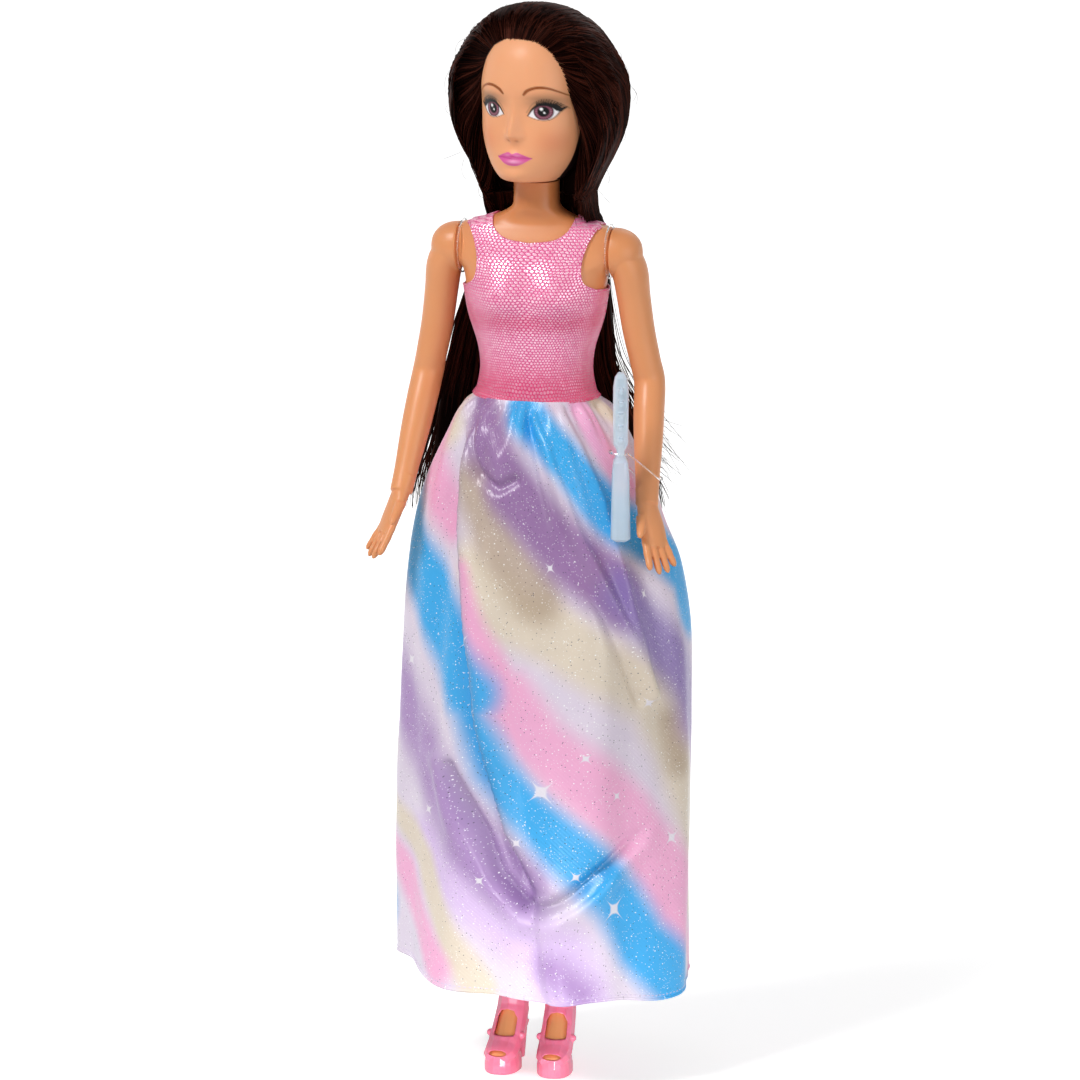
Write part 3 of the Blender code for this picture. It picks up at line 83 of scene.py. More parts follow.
# Rows of shares: of the height, then of each size in the order above
HEAD_SHARES = np.array([
    (0.000, 0.43, 0.42, 0.38), (0.018, 0.52, 0.80, 0.43), (0.050, 0.61, 0.93, 0.49), (0.100, 0.73, 0.97, 0.57),
    (0.155, 0.83, 0.965, 0.67), (0.225, 0.915, 0.95, 0.78), (0.315, 0.98, 0.93, 0.89), (0.405, 1.00, 0.905, 0.96),
    (0.500, 1.00, 0.935, 1.00), (0.615, 0.985, 0.995, 1.00), (0.730, 0.925, 0.965, 0.955),
    (0.835, 0.805, 0.865, 0.845), (0.915, 0.610, 0.680, 0.665), (0.970, 0.380, 0.440, 0.430),
    (1.000, 0.100, 0.120, 0.120)])
TORSO_SHARES = np.array([
    (0.0000, 0.300, 0.267, 0.383), (0.0215, 0.520, 0.440, 0.650), (0.0645, 0.830, 0.587, 0.883),
    (0.1398, 0.990, 0.667, 1.000), (0.2151, 1.000, 0.693, 0.983), (0.2903, 0.940, 0.707, 0.867),
    (0.3656, 0.846, 0.687, 0.733), (0.4387, 0.776, 0.653, 0.683), (0.5087, 0.807, 0.680, 0.708),
    (0.6020, 0.945, 0.747, 0.742), (0.6720, 1.005, 0.800, 0.750), (0.7351, 1.066, 0.720, 0.750),
    (0.7716, 1.234, 0.633, 0.725), (0.8228, 1.234, 0.533, 0.667), (0.8645, 1.111, 0.413, 0.567),
    (0.8784, 0.815, 0.373, 0.533), (0.8978, 0.543, 0.373, 0.533), (0.9215, 0.355, 0.430, 0.538),
    (0.9538, 0.323, 0.413, 0.517), (1.0000, 0.323, 0.413, 0.517)])
# The arm: its place from the shoulder at 0 by the elbow at 1 to the wrist at 2, then its shift,
# width and depth in arm radii
ARM_SHARES = np.array([
    (-0.105, 0.28, 0.70, 0.85), (0.00, 0.00, 1.00, 1.30), (0.14, 0.22, 1.06, 1.30), (0.33, 0.13, 1.00, 1.12),
    (0.60, 0.00, 0.96, 1.02), (0.85, 0.00, 0.92, 0.98), (1.00, 0.00, 0.93, 0.98), (1.25, 0.00, 0.92, 0.96),
    (1.50, 0.00, 0.86, 0.86), (1.80, 0.00, 0.72, 0.68), (2.00, 0.00, 0.68, 0.62)])
SKIRT_SHARES = np.array([
    (0.000, 0.452, 0.395, 0.365, 0.00), (0.016, 0.492, 0.445, 0.402, 0.00), (0.050, 0.575, 0.545, 0.490, 0.10),
    (0.090, 0.665, 0.640, 0.560, 0.20), (0.140, 0.755, 0.690, 0.630, 0.30), (0.200, 0.822, 0.740, 0.700, 0.32),
    (0.280, 0.905, 0.835, 0.790, 0.80), (0.400, 0.965, 0.930, 0.870, 1.00), (0.590, 0.990, 0.970, 0.950, 0.90),
    (0.800, 1.000, 1.000, 1.000, 0.80), (1.000, 1.000, 1.010, 1.000, 0.75)])
HAIR_SHARES = np.array([
    (0.000, 0.61, 0.73, 0.70), (0.115, 0.71, 0.80, 0.79), (0.250, 0.86, 0.90, 0.90), (0.380, 0.97, 0.96, 0.97),
    (0.520, 1.00, 1.00, 1.00), (0.640, 0.975, 1.00, 1.00), (0.750, 0.850, 0.97, 0.93), (0.850, 0.715, 0.89, 0.79),
    (0.905, 0.590, 0.78, 0.65), (0.958, 0.430, 0.60, 0.47), (0.992, 0.210, 0.32, 0.24), (1.000, 0.040, 0.06, 0.05)])
FALL_SHARES = np.array([
    (0.000, 0.513, 0.07, 0.306, 0.00), (0.040, 0.507, 0.13, 0.360, 0.00), (0.072, 0.515, 0.30, 0.390, 0.00),
    (0.115, 0.550, 0.385, 0.432, 0.05), (0.230, 0.600, 0.400, 0.463, 0.25), (0.400, 0.700, 0.405, 0.480, 0.75),
    (0.535, 0.767, 0.415, 0.510, 0.95), (0.625, 0.833, 0.455, 0.610, 1.00), (0.715, 0.883, 0.520, 0.725, 1.00),
    (0.830, 0.933, 0.600, 0.850, 1.00), (0.940, 0.983, 0.680, 0.960, 1.00), (1.000, 1.000, 0.720, 1.000, 1.00)])
# Cut edges of the top: shares outwards and up
ARMHOLE_SHARES = np.array([(0.84, 0.03), (0.16, 0.14), (0.0, 0.355), (0.27, 0.60), (0.86, 0.84), (1.0, 1.0)])
NECKLINE_SHARES = np.array([(0.0, 0.0), (0.52, 0.09), (0.80, 0.28), (0.95, 0.55), (1.0, 1.0)])


def linear(hex_colour):
    """An sRGB hex colour as the linear values that a shader takes."""
    parts = [int(hex_colour[i:i + 2], 16) / 255 for i in (1, 3, 5)]
    return tuple(c / 12.92 if c <= 0.04045 else ((c + 0.055) / 1.055) ** 2.4 for c in parts) + (1.0,)


def feed(node, inputs):
    """Gives a node its inputs, by place or by name: each is a link, a value or an sRGB hex colour."""
    for key, value in (inputs.items() if isinstance(inputs, dict) else enumerate(inputs)):
        if isinstance(value, bpy.types.NodeSocket):
            node.id_data.links.new(value, node.inputs[key])
        else:
            node.inputs[key].default_value = linear(value) if isinstance(value, str) else value


def add_node(tree, kind, inputs=(), out=0, **settings):
    """Adds a node with its settings and inputs, and returns one of its outputs."""
    node = tree.nodes.new("ShaderNode" + kind)
    for key, value in settings.items():
        setattr(node, key, value)
    feed(node, inputs)
    return node.outputs[out]


def new_finish(name, colour, roughness, **sockets):
    """A material with its Principled shader set, that shader, and the function that adds a node beside it."""
    look = bpy.data.materials.new(name)
    look.use_nodes = True
    look.diffuse_color = linear(colour)
    shader = look.node_tree.nodes["Principled BSDF"]
    feed(shader, {"Base Color": colour, "Roughness": roughness})
    feed(shader, {socket.replace("_", " "): value for socket, value in sockets.items()})
    return look, shader, partial(add_node, look.node_tree)


def laid_over(add, ground, layers):
    """Lays colours over a ground, each through a mask and a strength."""
    for mask, strength, colour in layers:
        share = add("Math", (mask, strength), operation="MULTIPLY")
        ground = add("Mix", {0: share, 6: ground, 7: colour}, 2, data_type="RGBA")
    return ground


def curve_at(rows, at, column):
    """A smooth curve through a table's column, read at shares between its first and last rows."""
    places, values = rows[:, 0], rows[:, column]
    last = len(rows) - 1
    behind = np.maximum(np.arange(len(rows)) - 1, 0)
    ahead = np.minimum(np.arange(len(rows)) + 1, last)
    slopes = (values[ahead] - values[behind]) / (places[ahead] - places[behind])
    i = np.clip(np.searchsorted(places, at, side="right") - 1, 0, last - 1)
    step = places[i + 1] - places[i]
    t = np.clip((at - places[i]) / step, 0, 1)
    return ((2 * t**3 - 3 * t**2 + 1) * values[i] + (t**3 - 2 * t**2 + t) * step * slopes[i]
            + (3 * t**2 - 2 * t**3) * values[i + 1] + (t**3 - t**2) * step * slopes[i + 1])


def sized(rows, sizes, at):
    """A table's columns read at shares, each times its own size."""
    return [size * curve_at(rows, at, column) for column, size in enumerate(sizes, 1)]


def bump(distance, size):
    return np.exp(-((distance / size) ** 2))


def ease(at, low, high):
    t = np.clip((at - low) / (high - low), 0, 1)
    return t * t * (3 - 2 * t)


def egg(angle, half, front, back, power=2.0):
    """Points round a level ring, with its own depth in front of and behind the middle."""
    c, s = np.cos(angle), np.sin(angle)
    x = half * np.sign(c) * np.abs(c) ** (2 / power)
    y = np.where(s > 0, back, front) * np.sign(s) * np.abs(s) ** (2 / power)
    return x, y


def choose(*pieces):
    """Selects these pieces alone, with the first of them active."""
    for other in list(bpy.context.selected_objects):
        other.select_set(False)
    for piece in pieces:
        piece.select_set(True)
    bpy.context.view_layer.objects.active = pieces[0]


def linked(name, data):
    """A new piece with its own mesh or curve, in the scene."""
    piece = bpy.data.objects.new(name, data)
    bpy.context.scene.collection.objects.link(piece)
    return piece


def faced(name, points, faces):
    mesh = bpy.data.meshes.new(name)
    mesh.from_pydata(np.asarray(points).tolist(), [], faces)
    return linked(name, mesh)


@contextmanager
def edited(piece):
    """A piece's mesh opened for editing, and written back."""
    body = bmesh.new()
    body.from_mesh(piece.data)
    yield body
    body.to_mesh(piece.data)
    body.free()


def read_points(mesh):
    flat = np.empty(len(mesh.vertices) * 3)
    mesh.vertices.foreach_get("co", flat)
    return flat.reshape(-1, 3)


def write_points(mesh, points):
    mesh.vertices.foreach_set("co", points.ravel())
    mesh.update()


def write_values(mesh, name, values):
    spot = mesh.attributes.new(name, "FLOAT", "POINT")
    spot.data.foreach_set("value", np.asarray(values, np.float32))


def write_places(mesh, name, *columns):
    spot = mesh.attributes.new(name, "FLOAT_VECTOR", "POINT")
    spot.data.foreach_set("vector", np.column_stack(columns).astype(np.float32).ravel())


def shaped_grid(name, across, along, place, joined=True):
    """A grid primitive wrapped into a shape: place(u, v) gives points for shares across and along it."""
    bpy.ops.mesh.primitive_grid_add(x_subdivisions=across, y_subdivisions=along, size=1, location=(0, 0, 0))
    piece = bpy.context.object
    piece.name = piece.data.name = name
    shares = np.clip(read_points(piece.data) + 0.5, 0, 1)
    write_points(piece.data, np.column_stack(place(shares[:, 0], shares[:, 1])))
    if joined:
        with edited(piece) as body:
            bmesh.ops.remove_doubles(body, verts=body.verts, dist=1e-6)
    return piece


def outward(piece):
    with edited(piece) as body:
        bmesh.ops.recalc_face_normals(body, faces=body.faces)
        if body.calc_volume(signed=True) < 0:
            bmesh.ops.reverse_faces(body, faces=body.faces)
    return piece


def apply_modifier(piece, kind, **settings):
    step = piece.modifiers.new(kind.lower(), kind)
    for key, value in settings.items():
        setattr(step, key, value)
    choose(piece)
    bpy.ops.object.modifier_apply(modifier=step.name)


def cut_away(piece, tool):
    """Takes a closed piece away from another, and removes it."""
    apply_modifier(piece, "BOOLEAN", operation="DIFFERENCE", object=tool, solver="EXACT")
    bpy.data.objects.remove(tool, do_unlink=True)


# How fine the skin of each pressed piece is, in metres
ARM_VOXEL, LEG_VOXEL, SHOE_VOXEL, COMB_VOXEL = 0.00027, 0.00040, 0.00018, 0.00016
CROWN_VOXEL, FALL_VOXEL = 0.00050, 0.00045


def pressed(piece, voxel, passes, strength=0.5):
    """Presses a piece into one skin and smooths it, as a moulded part comes from its tool."""
    apply_modifier(piece, "REMESH", mode="VOXEL", voxel_size=voxel)
    apply_modifier(piece, "SMOOTH", factor=strength, iterations=passes)
    return outward(piece)


def rounded(piece, angle=60):
    piece.data.shade_smooth()
    piece.data.set_sharp_from_angle(angle=math.radians(angle))
    return piece


def dressed(piece, look, body, slot, *nodes):
    """Gives a finished piece its material and body, and hides the nodes that it stands for. Its record slot is not
    used.
    """
    piece.data.materials.clear()
    piece.data.materials.append(look)
    if body:
        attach(piece, body)
    if nodes:
        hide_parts(*nodes)
    return piece


def joined_as(name, pieces):
    choose(*pieces)
    bpy.ops.object.join()
    whole = bpy.context.object
    whole.name = whole.data.name = name
    return whole


def headings(path):
    """Unit directions along a path at each of its points."""
    way = np.vstack([path[1:], path[-1:]]) - np.vstack([path[:1], path[:-1]])
    return way / np.maximum(np.linalg.norm(way, axis=1), 1e-9)[:, None]


def ringed(path, side, fore, wide, deep, around):
    """Rings of points round a path: wide along one direction, deep along the other."""
    angle = np.linspace(0, 2 * math.pi, around, endpoint=False)
    return (path[:, None] + side[:, None] * (wide[:, None] * np.cos(angle))[..., None]
            + fore[:, None] * (deep[:, None] * np.sin(angle))[..., None])


def lofted(name, rings):
    """A closed body through rings, its ends drawn to a point so that they stay round."""
    count, last = rings.shape[1], (len(rings) - 1) * rings.shape[1]
    points = np.vstack([rings.reshape(-1, 3), rings[0].mean(axis=0)[None], rings[-1].mean(axis=0)[None]])
    low, high = len(points) - 2, len(points) - 1
    pairs = [(j, (j + 1) % count) for j in range(count)]
    faces = [(i + j, i + k, i + count + k, i + count + j) for i in range(0, last, count) for j, k in pairs]
    for j, k in pairs:
        faces += [(low, k, j), (high, last + j, last + k)]
    return outward(faced(name, points, faces))


def strands_mesh(name, paths, radii, sides=4, tones=None, tips=0.35):
    """Many thin tapering strands as one mesh, with a tone of its own for each."""
    points, faces, tone, start = [], [], [], 0
    ring = np.arange(sides)
    after = (ring + 1) % sides
    for k, (path, radius) in enumerate(zip(paths, radii)):
        count = len(path)
        share = np.linspace(0, 1, count)
        ends = np.minimum(share / 0.12, (1 - share) / 0.25)
        wide = radius * np.minimum(1, tips + (1 - tips) * ends)
        way = headings(path)
        up = np.where(np.abs(way[:, 2:3]) > 0.8, [[1.0, 0.0, 0.0]], [[0.0, 0.0, 1.0]])
        side = np.cross(way, up)
        side /= np.maximum(np.linalg.norm(side, axis=1), 1e-9)[:, None]
        points.append(ringed(path, side, np.cross(side, way), wide, wide, sides).reshape(-1, 3))
        base = start + np.arange(count - 1)[:, None] * sides
        quads = np.stack([base + ring, base + after, base + sides + after, base + sides + ring], axis=-1)
        faces += quads.reshape(-1, 4).tolist()
        faces += [tuple(start + ring[::-1]), tuple(start + (count - 1) * sides + ring)]
        tone.append(np.full(count * sides, 0.5 if tones is None else tones[k]))
        start += count * sides
    piece = faced(name, np.vstack(points), faces)
    write_values(piece.data, "strand_tone", np.concatenate(tone))
    return rounded(outward(piece), 80)


def refined(node, name, voxel, passes, strength=0.5):
    """A copy of a solid with its facets pressed out."""
    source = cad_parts[node]
    piece = linked(name, source.data.copy())
    piece.data.transform(source.matrix_world)
    with edited(piece) as body:
        bmesh.ops.remove_doubles(body, verts=body.verts, dist=1e-6)
    return rounded(pressed(piece, voxel, passes, strength))


# Skin

# How far red, green and blue light travels in flesh-coloured plastic, as shares
FLESH = (1.0, 0.35, 0.18)


def plastic_skin():
    """Injection-moulded torso plastic: even tan with a satin skin, a faint mould texture, warm thin edges and
    painted shade on the neck.
    """
    look, shader, add = new_finish("moulded_torso_plastic", "#ECA273", 0.36, IOR=1.50, Specular_IOR_Level=0.40,
                                   Subsurface_Weight=0.12, Subsurface_Scale=0.0015, Subsurface_Radius=FLESH)
    place = add("TexCoord", out="Object")
    patches = add("TexNoise", {"Vector": place, "Scale": 70.0, "Detail": 3.0})
    # Painted shade: the neck is darkened where the head and hair shade it, and the painted shade fades out below
    # the throat.
    up = add("SeparateXYZ", (place,), 2)
    neck = add("MapRange", (up, 0.229, 0.247, 0.0, 0.75), interpolation_type="SMOOTHSTEP")
    # Mould texture is about 0.05 mm, drawn at 0.25 mm so that it shows.
    grain = add("TexNoise", {"Vector": place, "Scale": 4000.0, "Detail": 2.0})
    feed(shader, {"Base Color": laid_over(add, "#E69C68", ((patches, 0.45, "#DC8C56"), (neck, 1.0, "#C0703A"))),
                  "Roughness": add("Math", (patches, 0.12, 0.31), operation="MULTIPLY_ADD"),
                  "Normal": add("Bump", {"Height": grain, "Strength": 0.04, "Distance": 0.00005})})
    return look


# The printed inks of the face and the painted shade in its nostrils, in the order they lie: mask, strength and
# colour
FACE_INKS = (
    ("blush", 0.45, "#E08055"), ("lid_shade", 0.78, "#70563E"), ("lid_crease", 0.80, "#4E3628"),
    ("brow", 0.97, "#8C4820"), ("eye_white", 0.97, "#F6F2F6"), ("iris_rim", 1.0, "#2A1018"),
    ("iris", 0.97, "#6E3444"), ("iris_glow", 0.9, "#B0788A"), ("pupil", 1.0, "#020102"), ("lash", 1.0, "#040202"),
    ("glint", 1.0, "#FFFFFF"), ("lip", 0.96, "#D9569F"), ("lip_light", 0.75, "#F6B3D2"),
    ("lip_line", 0.85, "#9A2F66"), ("nostril_shade", 0.55, "#B0613C"), ("scalp", 1.0, "#120707"))


def painted_vinyl():
    """Rotocast vinyl with tampo-printed features: softer and warmer than the body, with flat, glossy inks."""
    look, shader, add = new_finish("painted_head_vinyl", "#EDA574", 0.38, IOR=1.50, Specular_IOR_Level=0.30,
                                   Subsurface_Weight=0.15, Subsurface_Scale=0.0018, Subsurface_Radius=FLESH)
    place = add("TexCoord", out="Object")
    patches = add("TexNoise", {"Vector": place, "Scale": 60.0, "Detail": 3.0})
    masks = {name: add("Attribute", out="Fac", attribute_name=name, attribute_type="GEOMETRY")
             for name, _, _ in FACE_INKS}
    colour = laid_over(add, "#F0AB7E", [(patches, 0.4, "#E89C6C")]
                       + [(masks[name], strength, ink) for name, strength, ink in FACE_INKS])
    inked = masks["lip"]
    for name in ("eye_white", "iris", "lash", "brow"):
        inked = add("Math", (inked, masks[name]), operation="MAXIMUM")
    grain = add("TexNoise", {"Vector": place, "Scale": 3500.0, "Detail": 2.0})
    feed(shader, {"Base Color": colour,
                  "Subsurface Weight": add("Math", (inked, -0.15, 0.15), operation="MULTIPLY_ADD"),
                  "Specular IOR Level": add("Math", (inked, -0.15, 0.30), operation="MULTIPLY_ADD"),
                  "Roughness": add("Math", (inked, -0.12, 0.40), operation="MULTIPLY_ADD"),
                  "Normal": add("Bump", {"Height": grain, "Strength": 0.03, "Distance": 0.00005})})
    return look


# How the face stands forward of a plain egg, in mm: how far, its place and reach beside the midline, and its
# height and reach up the face. Each row stands on both sides of the midline.
FACE_RELIEF = (
    ("bridge", 0.8, 0.0, 1.8, 270.0, 4.2), ("wings", 0.7, 2.0, 1.1, 264.0, 1.3),
    ("under", -0.3, 1.1, 0.6, 262.8, 0.5),
    ("sockets", -0.9, 7.6, 4.2, 270.9, 3.0), ("balls", 0.5, 7.7, 3.6, 270.7, 2.0),
    ("lid fold", -0.22, 7.7, 4.6, 274.1, 0.6), ("brow", 0.35, 7.5, 4.6, 276.5, 2.0),
    ("cheeks", 0.35, 8.5, 4.0, 262.5, 4.0), ("mouth", 0.7, 0.0, 4.0, 258.1, 3.0),
    ("upper lip", 0.42, 0.0, 3.4, 259.0, 0.75), ("lower lip", 0.55, 0.0, 3.0, 257.0, 0.85),
    ("parting", -0.35, 0.0, 4.2, 258.2, 0.35), ("philtrum", -0.15, 0.0, 0.6, 261.0, 1.0),
    ("chin", 0.8, 0.0, 3.4, 252.8, 2.2), ("dimple", -0.3, 0.0, 3.0, 255.1, 0.9))
NOSE_TIP, NOSE_OUT = 264.6, 2.8
# The features sit a little towards the doll's left of the head's own middle.
FACE_SHIFT = 0.0010


def face_relief(x, z):
    """How far the face stands forward of the plain egg, in metres."""
    side, up = 1000 * np.abs(x), 1000 * z
    out = NOSE_OUT * bump(side, 1.7) * bump(up - NOSE_TIP, np.where(up < NOSE_TIP, 2.1, 4.3))
    for _, far, beside, wide, height, tall in FACE_RELIEF:
        out = out + far * bump(side - beside, wide) * bump(up - height, tall)
    return out / 1000


def turned_head(x, y, z):
    c, s = math.cos(HEAD_TURN), math.sin(HEAD_TURN)
    return np.column_stack([c * x - s * y, s * x + c * y, z])


def inside(distance, soft=0.10):
    """A printed edge: 1 where the distance is inside, and 0 outside, over the ink's soft rim."""
    return np.clip(0.5 - distance / (2 * soft), 0, 1)


def line_mask(along, across, points, widths, soft):
    """A painted stroke through points, with its own half-width at each point."""
    found = np.zeros_like(along)
    for (a, b), (w0, w1) in zip(zip(points[:-1], points[1:]), zip(widths[:-1], widths[1:])):
        run = (b[0] - a[0], b[1] - a[1])
        length = run[0] ** 2 + run[1] ** 2
        t = np.clip(((along - a[0]) * run[0] + (across - a[1]) * run[1]) / length, 0, 1)
        gap = np.hypot(along - a[0] - t * run[0], across - a[1] - t * run[1])
        found = np.maximum(found, inside(gap - (w0 + (w1 - w0) * t), soft))
    return found


def bent(points, steps=8):
    """More points on a smooth curve through a few."""
    rows = np.column_stack([np.arange(len(points), dtype=float), np.array(points, float)])
    fine = np.linspace(0, len(points) - 1, (len(points) - 1) * steps + 1)
    return np.column_stack([curve_at(rows, fine, 1), curve_at(rows, fine, 2)])


# Lines of the right eye in mm from its middle, the outer side positive: an almond whose outer corner is higher
EYE_PLACE, EYE_INNER, EYE_OUTER, IRIS_SHIFT = (7.6, 270.9), -4.0, 3.6, 0.1
UPPER_LID = bent([(-4.0, -1.35), (-2.7, 0.55), (-0.9, 1.80), (0.9, 1.90), (2.4, 1.25), (3.6, 0.05)])
LOWER_LID = bent([(-4.0, -1.35), (-2.6, -2.00), (-0.6, -2.50), (1.2, -2.35), (2.6, -1.45), (3.6, 0.05)])
LID_CREASE = bent([(-4.2, -0.4), (-2.6, 1.9), (-0.4, 3.2), (1.8, 3.1), (3.9, 1.7), (5.0, 0.6)])
BROW = bent([(-4.5, 4.55), (-3.3, 5.75), (-1.0, 6.55), (1.4, 6.35), (3.4, 5.35), (5.1, 4.0)])


def paint_eyes(x, z, front):
    """The masks of the eyes, from places in mm in the face's own front view."""
    u, v = np.abs(x) - EYE_PLACE[0], z - EYE_PLACE[1]

    def widths(line, places, sizes):
        return np.interp(np.linspace(0, 1, len(line)), places, sizes)

    top, low = np.interp(u, *UPPER_LID.T), np.interp(u, *LOWER_LID.T)
    opening = np.clip((top - v) / 0.25, 0, 1) * np.clip((v - low) / 0.25, 0, 1)
    opening = np.where((u > EYE_INNER) & (u < EYE_OUTER), opening, 0) * front
    reach = np.hypot(u + IRIS_SHIFT, v + 0.10)
    rays = 0.6 + 0.4 * np.cos(24 * np.arctan2(v, u + IRIS_SHIFT))
    ring = inside(reach - 1.9, 0.25) * (1 - inside(reach - 1.45, 0.3))
    lit = np.where(x > 0, 1, -1)
    glints = (inside(np.hypot(u + IRIS_SHIFT + lit * 0.45, v - 0.60) - 0.40)
              + inside(np.hypot(u + IRIS_SHIFT - lit * 0.25, v + 0.45) - 0.25))
    lash = line_mask(u, v, UPPER_LID, widths(UPPER_LID, [0, 0.2, 0.6, 0.9, 1], [0.14, 0.28, 0.52, 0.60, 0.3]), 0.1)
    lash = np.maximum(lash, line_mask(u, v, [(2.0, 1.6), (3.5, 0.45), (4.5, 0.75)], [0.5, 0.62, 0.14], 0.1))
    under = line_mask(u, v, LOWER_LID, widths(LOWER_LID, [0, 0.3, 0.8, 1], [0.05, 0.07, 0.14, 0.2]), 0.1)
    lash = np.maximum(lash, 0.75 * under)
    for start in np.linspace(-1.6, 3.5, 11):
        foot = np.interp(start, *UPPER_LID.T)
        lean = 0.18 + 0.13 * (start + 1.6)
        hair = [(start, foot), (start + 0.30 * lean, foot + 0.55),
                (start + lean, foot + 1.25 - 0.10 * max(start - 1, 0))]
        lash = np.maximum(lash, line_mask(u, v, hair, [0.24, 0.19, 0.10], 0.09))
    for start in np.linspace(2.0, 3.5, 4):
        foot = np.interp(start, *UPPER_LID.T)
        hair = [(start, foot), (start + 1.15, foot + 0.95)]
        lash = np.maximum(lash, line_mask(u, v, hair, [0.24, 0.09], 0.09))
    crease = line_mask(u, v, LID_CREASE, [0.07] * len(LID_CREASE), 0.22)
    brow = line_mask(u, v, BROW, widths(BROW, [0, 0.12, 0.5, 1], [0.30, 0.44, 0.36, 0.12]), 0.12)
    return {"eye_white": opening, "iris_rim": opening * inside(reach - 2.35, 0.12),
            "iris": opening * inside(reach - 2.10, 0.15),
            "iris_glow": opening * ring * rays * np.where(v < 0.6, 1, 0.4),
            "pupil": opening * inside(reach - 1.38, 0.12), "glint": opening * glints, "lash": lash * front,
            "lid_shade": bump(u - 0.8, 4.4) * bump(v - 2.4, 1.9) * front, "lid_crease": 0.8 * crease * front,
            "brow": brow * front}


def paint_lips(x, z, front):
    """The masks of the lips: a bow above, a fuller lip below, and the line where they part."""
    p, q = np.abs(x) / 1.18, (z - 258.0) / 1.12
    bow = np.interp(p, [0, 0.9, 1.4, 2.6, 3.8, 4.5], [1.15, 1.55, 1.50, 1.00, 0.40, 0.05])
    dip = np.interp(p, [0, 1.2, 2.4, 3.5, 4.5], [-1.95, -1.85, -1.35, -0.60, 0.05])
    part = np.interp(p, [0, 1, 2.5, 4.5], [-0.12, -0.02, 0.05, 0.10])
    lip = np.clip((bow - q) / 0.2, 0, 1) * np.clip((q - dip) / 0.2, 0, 1) * (p < 4.5) * front
    light = bump(q + 0.75, 0.42) * bump(x - 0.6, 1.9) + 0.5 * bump(q - 0.75, 0.3) * bump(p - 1.2, 0.9)
    return {"lip": lip, "lip_light": light * lip, "lip_line": inside(np.abs(q - part) - 0.07) * (p < 4.3) * front}


def paint_face(piece, x, z, front):
    """Writes each printed ink and the painted nostril shade as attributes, from places in mm in the face's own
    front view.
    """
    side = np.abs(x)
    masks = paint_eyes(x, z, front) | paint_lips(x, z, front)
    # Painted shade darkens the nostril hollows.
    masks["nostril_shade"] = bump(side - 1.15, 0.50) * bump(z - 262.75, 0.35) * front
    masks["blush"] = bump(side - 9.5, 3.6) * bump(z - 262.5, 3.6) * front
    # The scalp is painted dark from just behind the hairline, so that no skin shows between the roots.
    hairline = np.interp(side, [0, 4.6, 8.8, 11.4, 13.0, 14.1, 14.9],
                         [289.7, 289.4, 287.2, 283.6, 279.2, 273.9, 262])
    masks["scalp"] = np.where(front > 0.02, np.clip((z - hairline) / 0.4, 0, 1), 1)
    for name, values in masks.items():
        write_values(piece.data, name, np.clip(values, 0, 1))


def make_head(look):
    """The vinyl head: a sphere primitive shaped to the skull and the face, closest-set where the features are."""
    bpy.ops.mesh.primitive_uv_sphere_add(segments=240, ring_count=210, radius=1)
    head = bpy.context.object
    head.name = head.data.name = "head_with_painted_face"
    ball = read_points(head.data)
    turn = np.arctan2(ball[:, 1], ball[:, 0])
    # Columns are drawn together towards the face, at -Y.
    angle = turn - 0.55 * np.cos(turn)
    share = np.arccos(1 - 2 * np.clip((1 + ball[:, 2]) / 2, 0, 1)) / math.pi
    share = 0.5 * share + 0.5 * (1 - np.cos(math.pi * share)) / 2
    tip = np.minimum(1, np.minimum(share / 0.004, (1 - share) / 0.01))
    x, y = egg(angle, *[size * tip for size in sized(HEAD_SHARES, HEAD_SIZES, share)], HEAD_POWER)
    z = HEAD_BOTTOM + share * HEAD_HEIGHT
    ear = 0.0016 * bump(z - 0.2668, 0.0036) * bump(y - 0.0010, 0.0022)
    ear -= 0.0008 * bump(z - 0.2672, 0.0022) * bump(y - 0.0006, 0.0011)
    relief = face_relief(x - FACE_SHIFT, z) * ease(-y, 0.0, 0.004)
    x, y = x + np.sign(x) * ear, y - relief
    paint_face(head, 1000 * (x - FACE_SHIFT), 1000 * z, ease(-y, 0.002, 0.004))
    write_points(head.data, turned_head(x, y, z))
    rounded(outward(head))
    return dressed(head, look, "head", "head_vinyl", "head")


# Torso


def neck_share(height):
    return (height - CROTCH_HEIGHT) / (NECK_TOP - CROTCH_HEIGHT)


def body_surface(angle, share, out=0.0):
    """A point of the torso at an angle and a share of its height, moved out by a distance."""
    height = CROTCH_HEIGHT + share * (NECK_TOP - CROTCH_HEIGHT)
    x, y = egg(angle, *sized(TORSO_SHARES, TORSO_SIZES, share), TORSO_POWER)
    breast = bump(np.abs(x) - BUST_SPACING / 2, BUST_SIZE) * bump(height - BUST_HEIGHT, BUST_SIZE)
    y = np.where(y < 0, y - BUST_RISE * breast, y)
    reach = np.maximum(np.hypot(x, y), 1e-6)
    return x * (1 + out / reach), y * (1 + out / reach), height


def make_torso(look):
    """The moulded torso, with the fine line down each side where its halves meet."""
    def place(u, v):
        x, y, z = body_surface(2 * math.pi * u + math.pi / 2, v)
        seam = 0.00012 * bump(y - 0.0006, 0.00025)
        return np.clip(x, -SHOULDER_HALF_WIDTH, SHOULDER_HALF_WIDTH) * (1 - seam / 0.02), y, z

    torso = shaped_grid("moulded_torso", 128, 150, place)
    with edited(torso) as body:
        bmesh.ops.holes_fill(body, edges=[e for e in body.edges if e.is_boundary])
    outward(torso)
    for sign in (-1, 1):
        bpy.ops.mesh.primitive_cylinder_add(
            vertices=64, radius=HIP_RADIUS + 2 * CLEARANCE, depth=0.04, rotation=(0, math.pi / 2, 0),
            location=(sign * (PELVIS_HALF_WIDTH + 0.02), 0, HIP_HEIGHT))
        cut_away(torso, bpy.context.object)
    rounded(torso, 50)
    return dressed(torso, look, "torso", "torso_plastic", "torso_front", "torso_back")


# Arms and legs

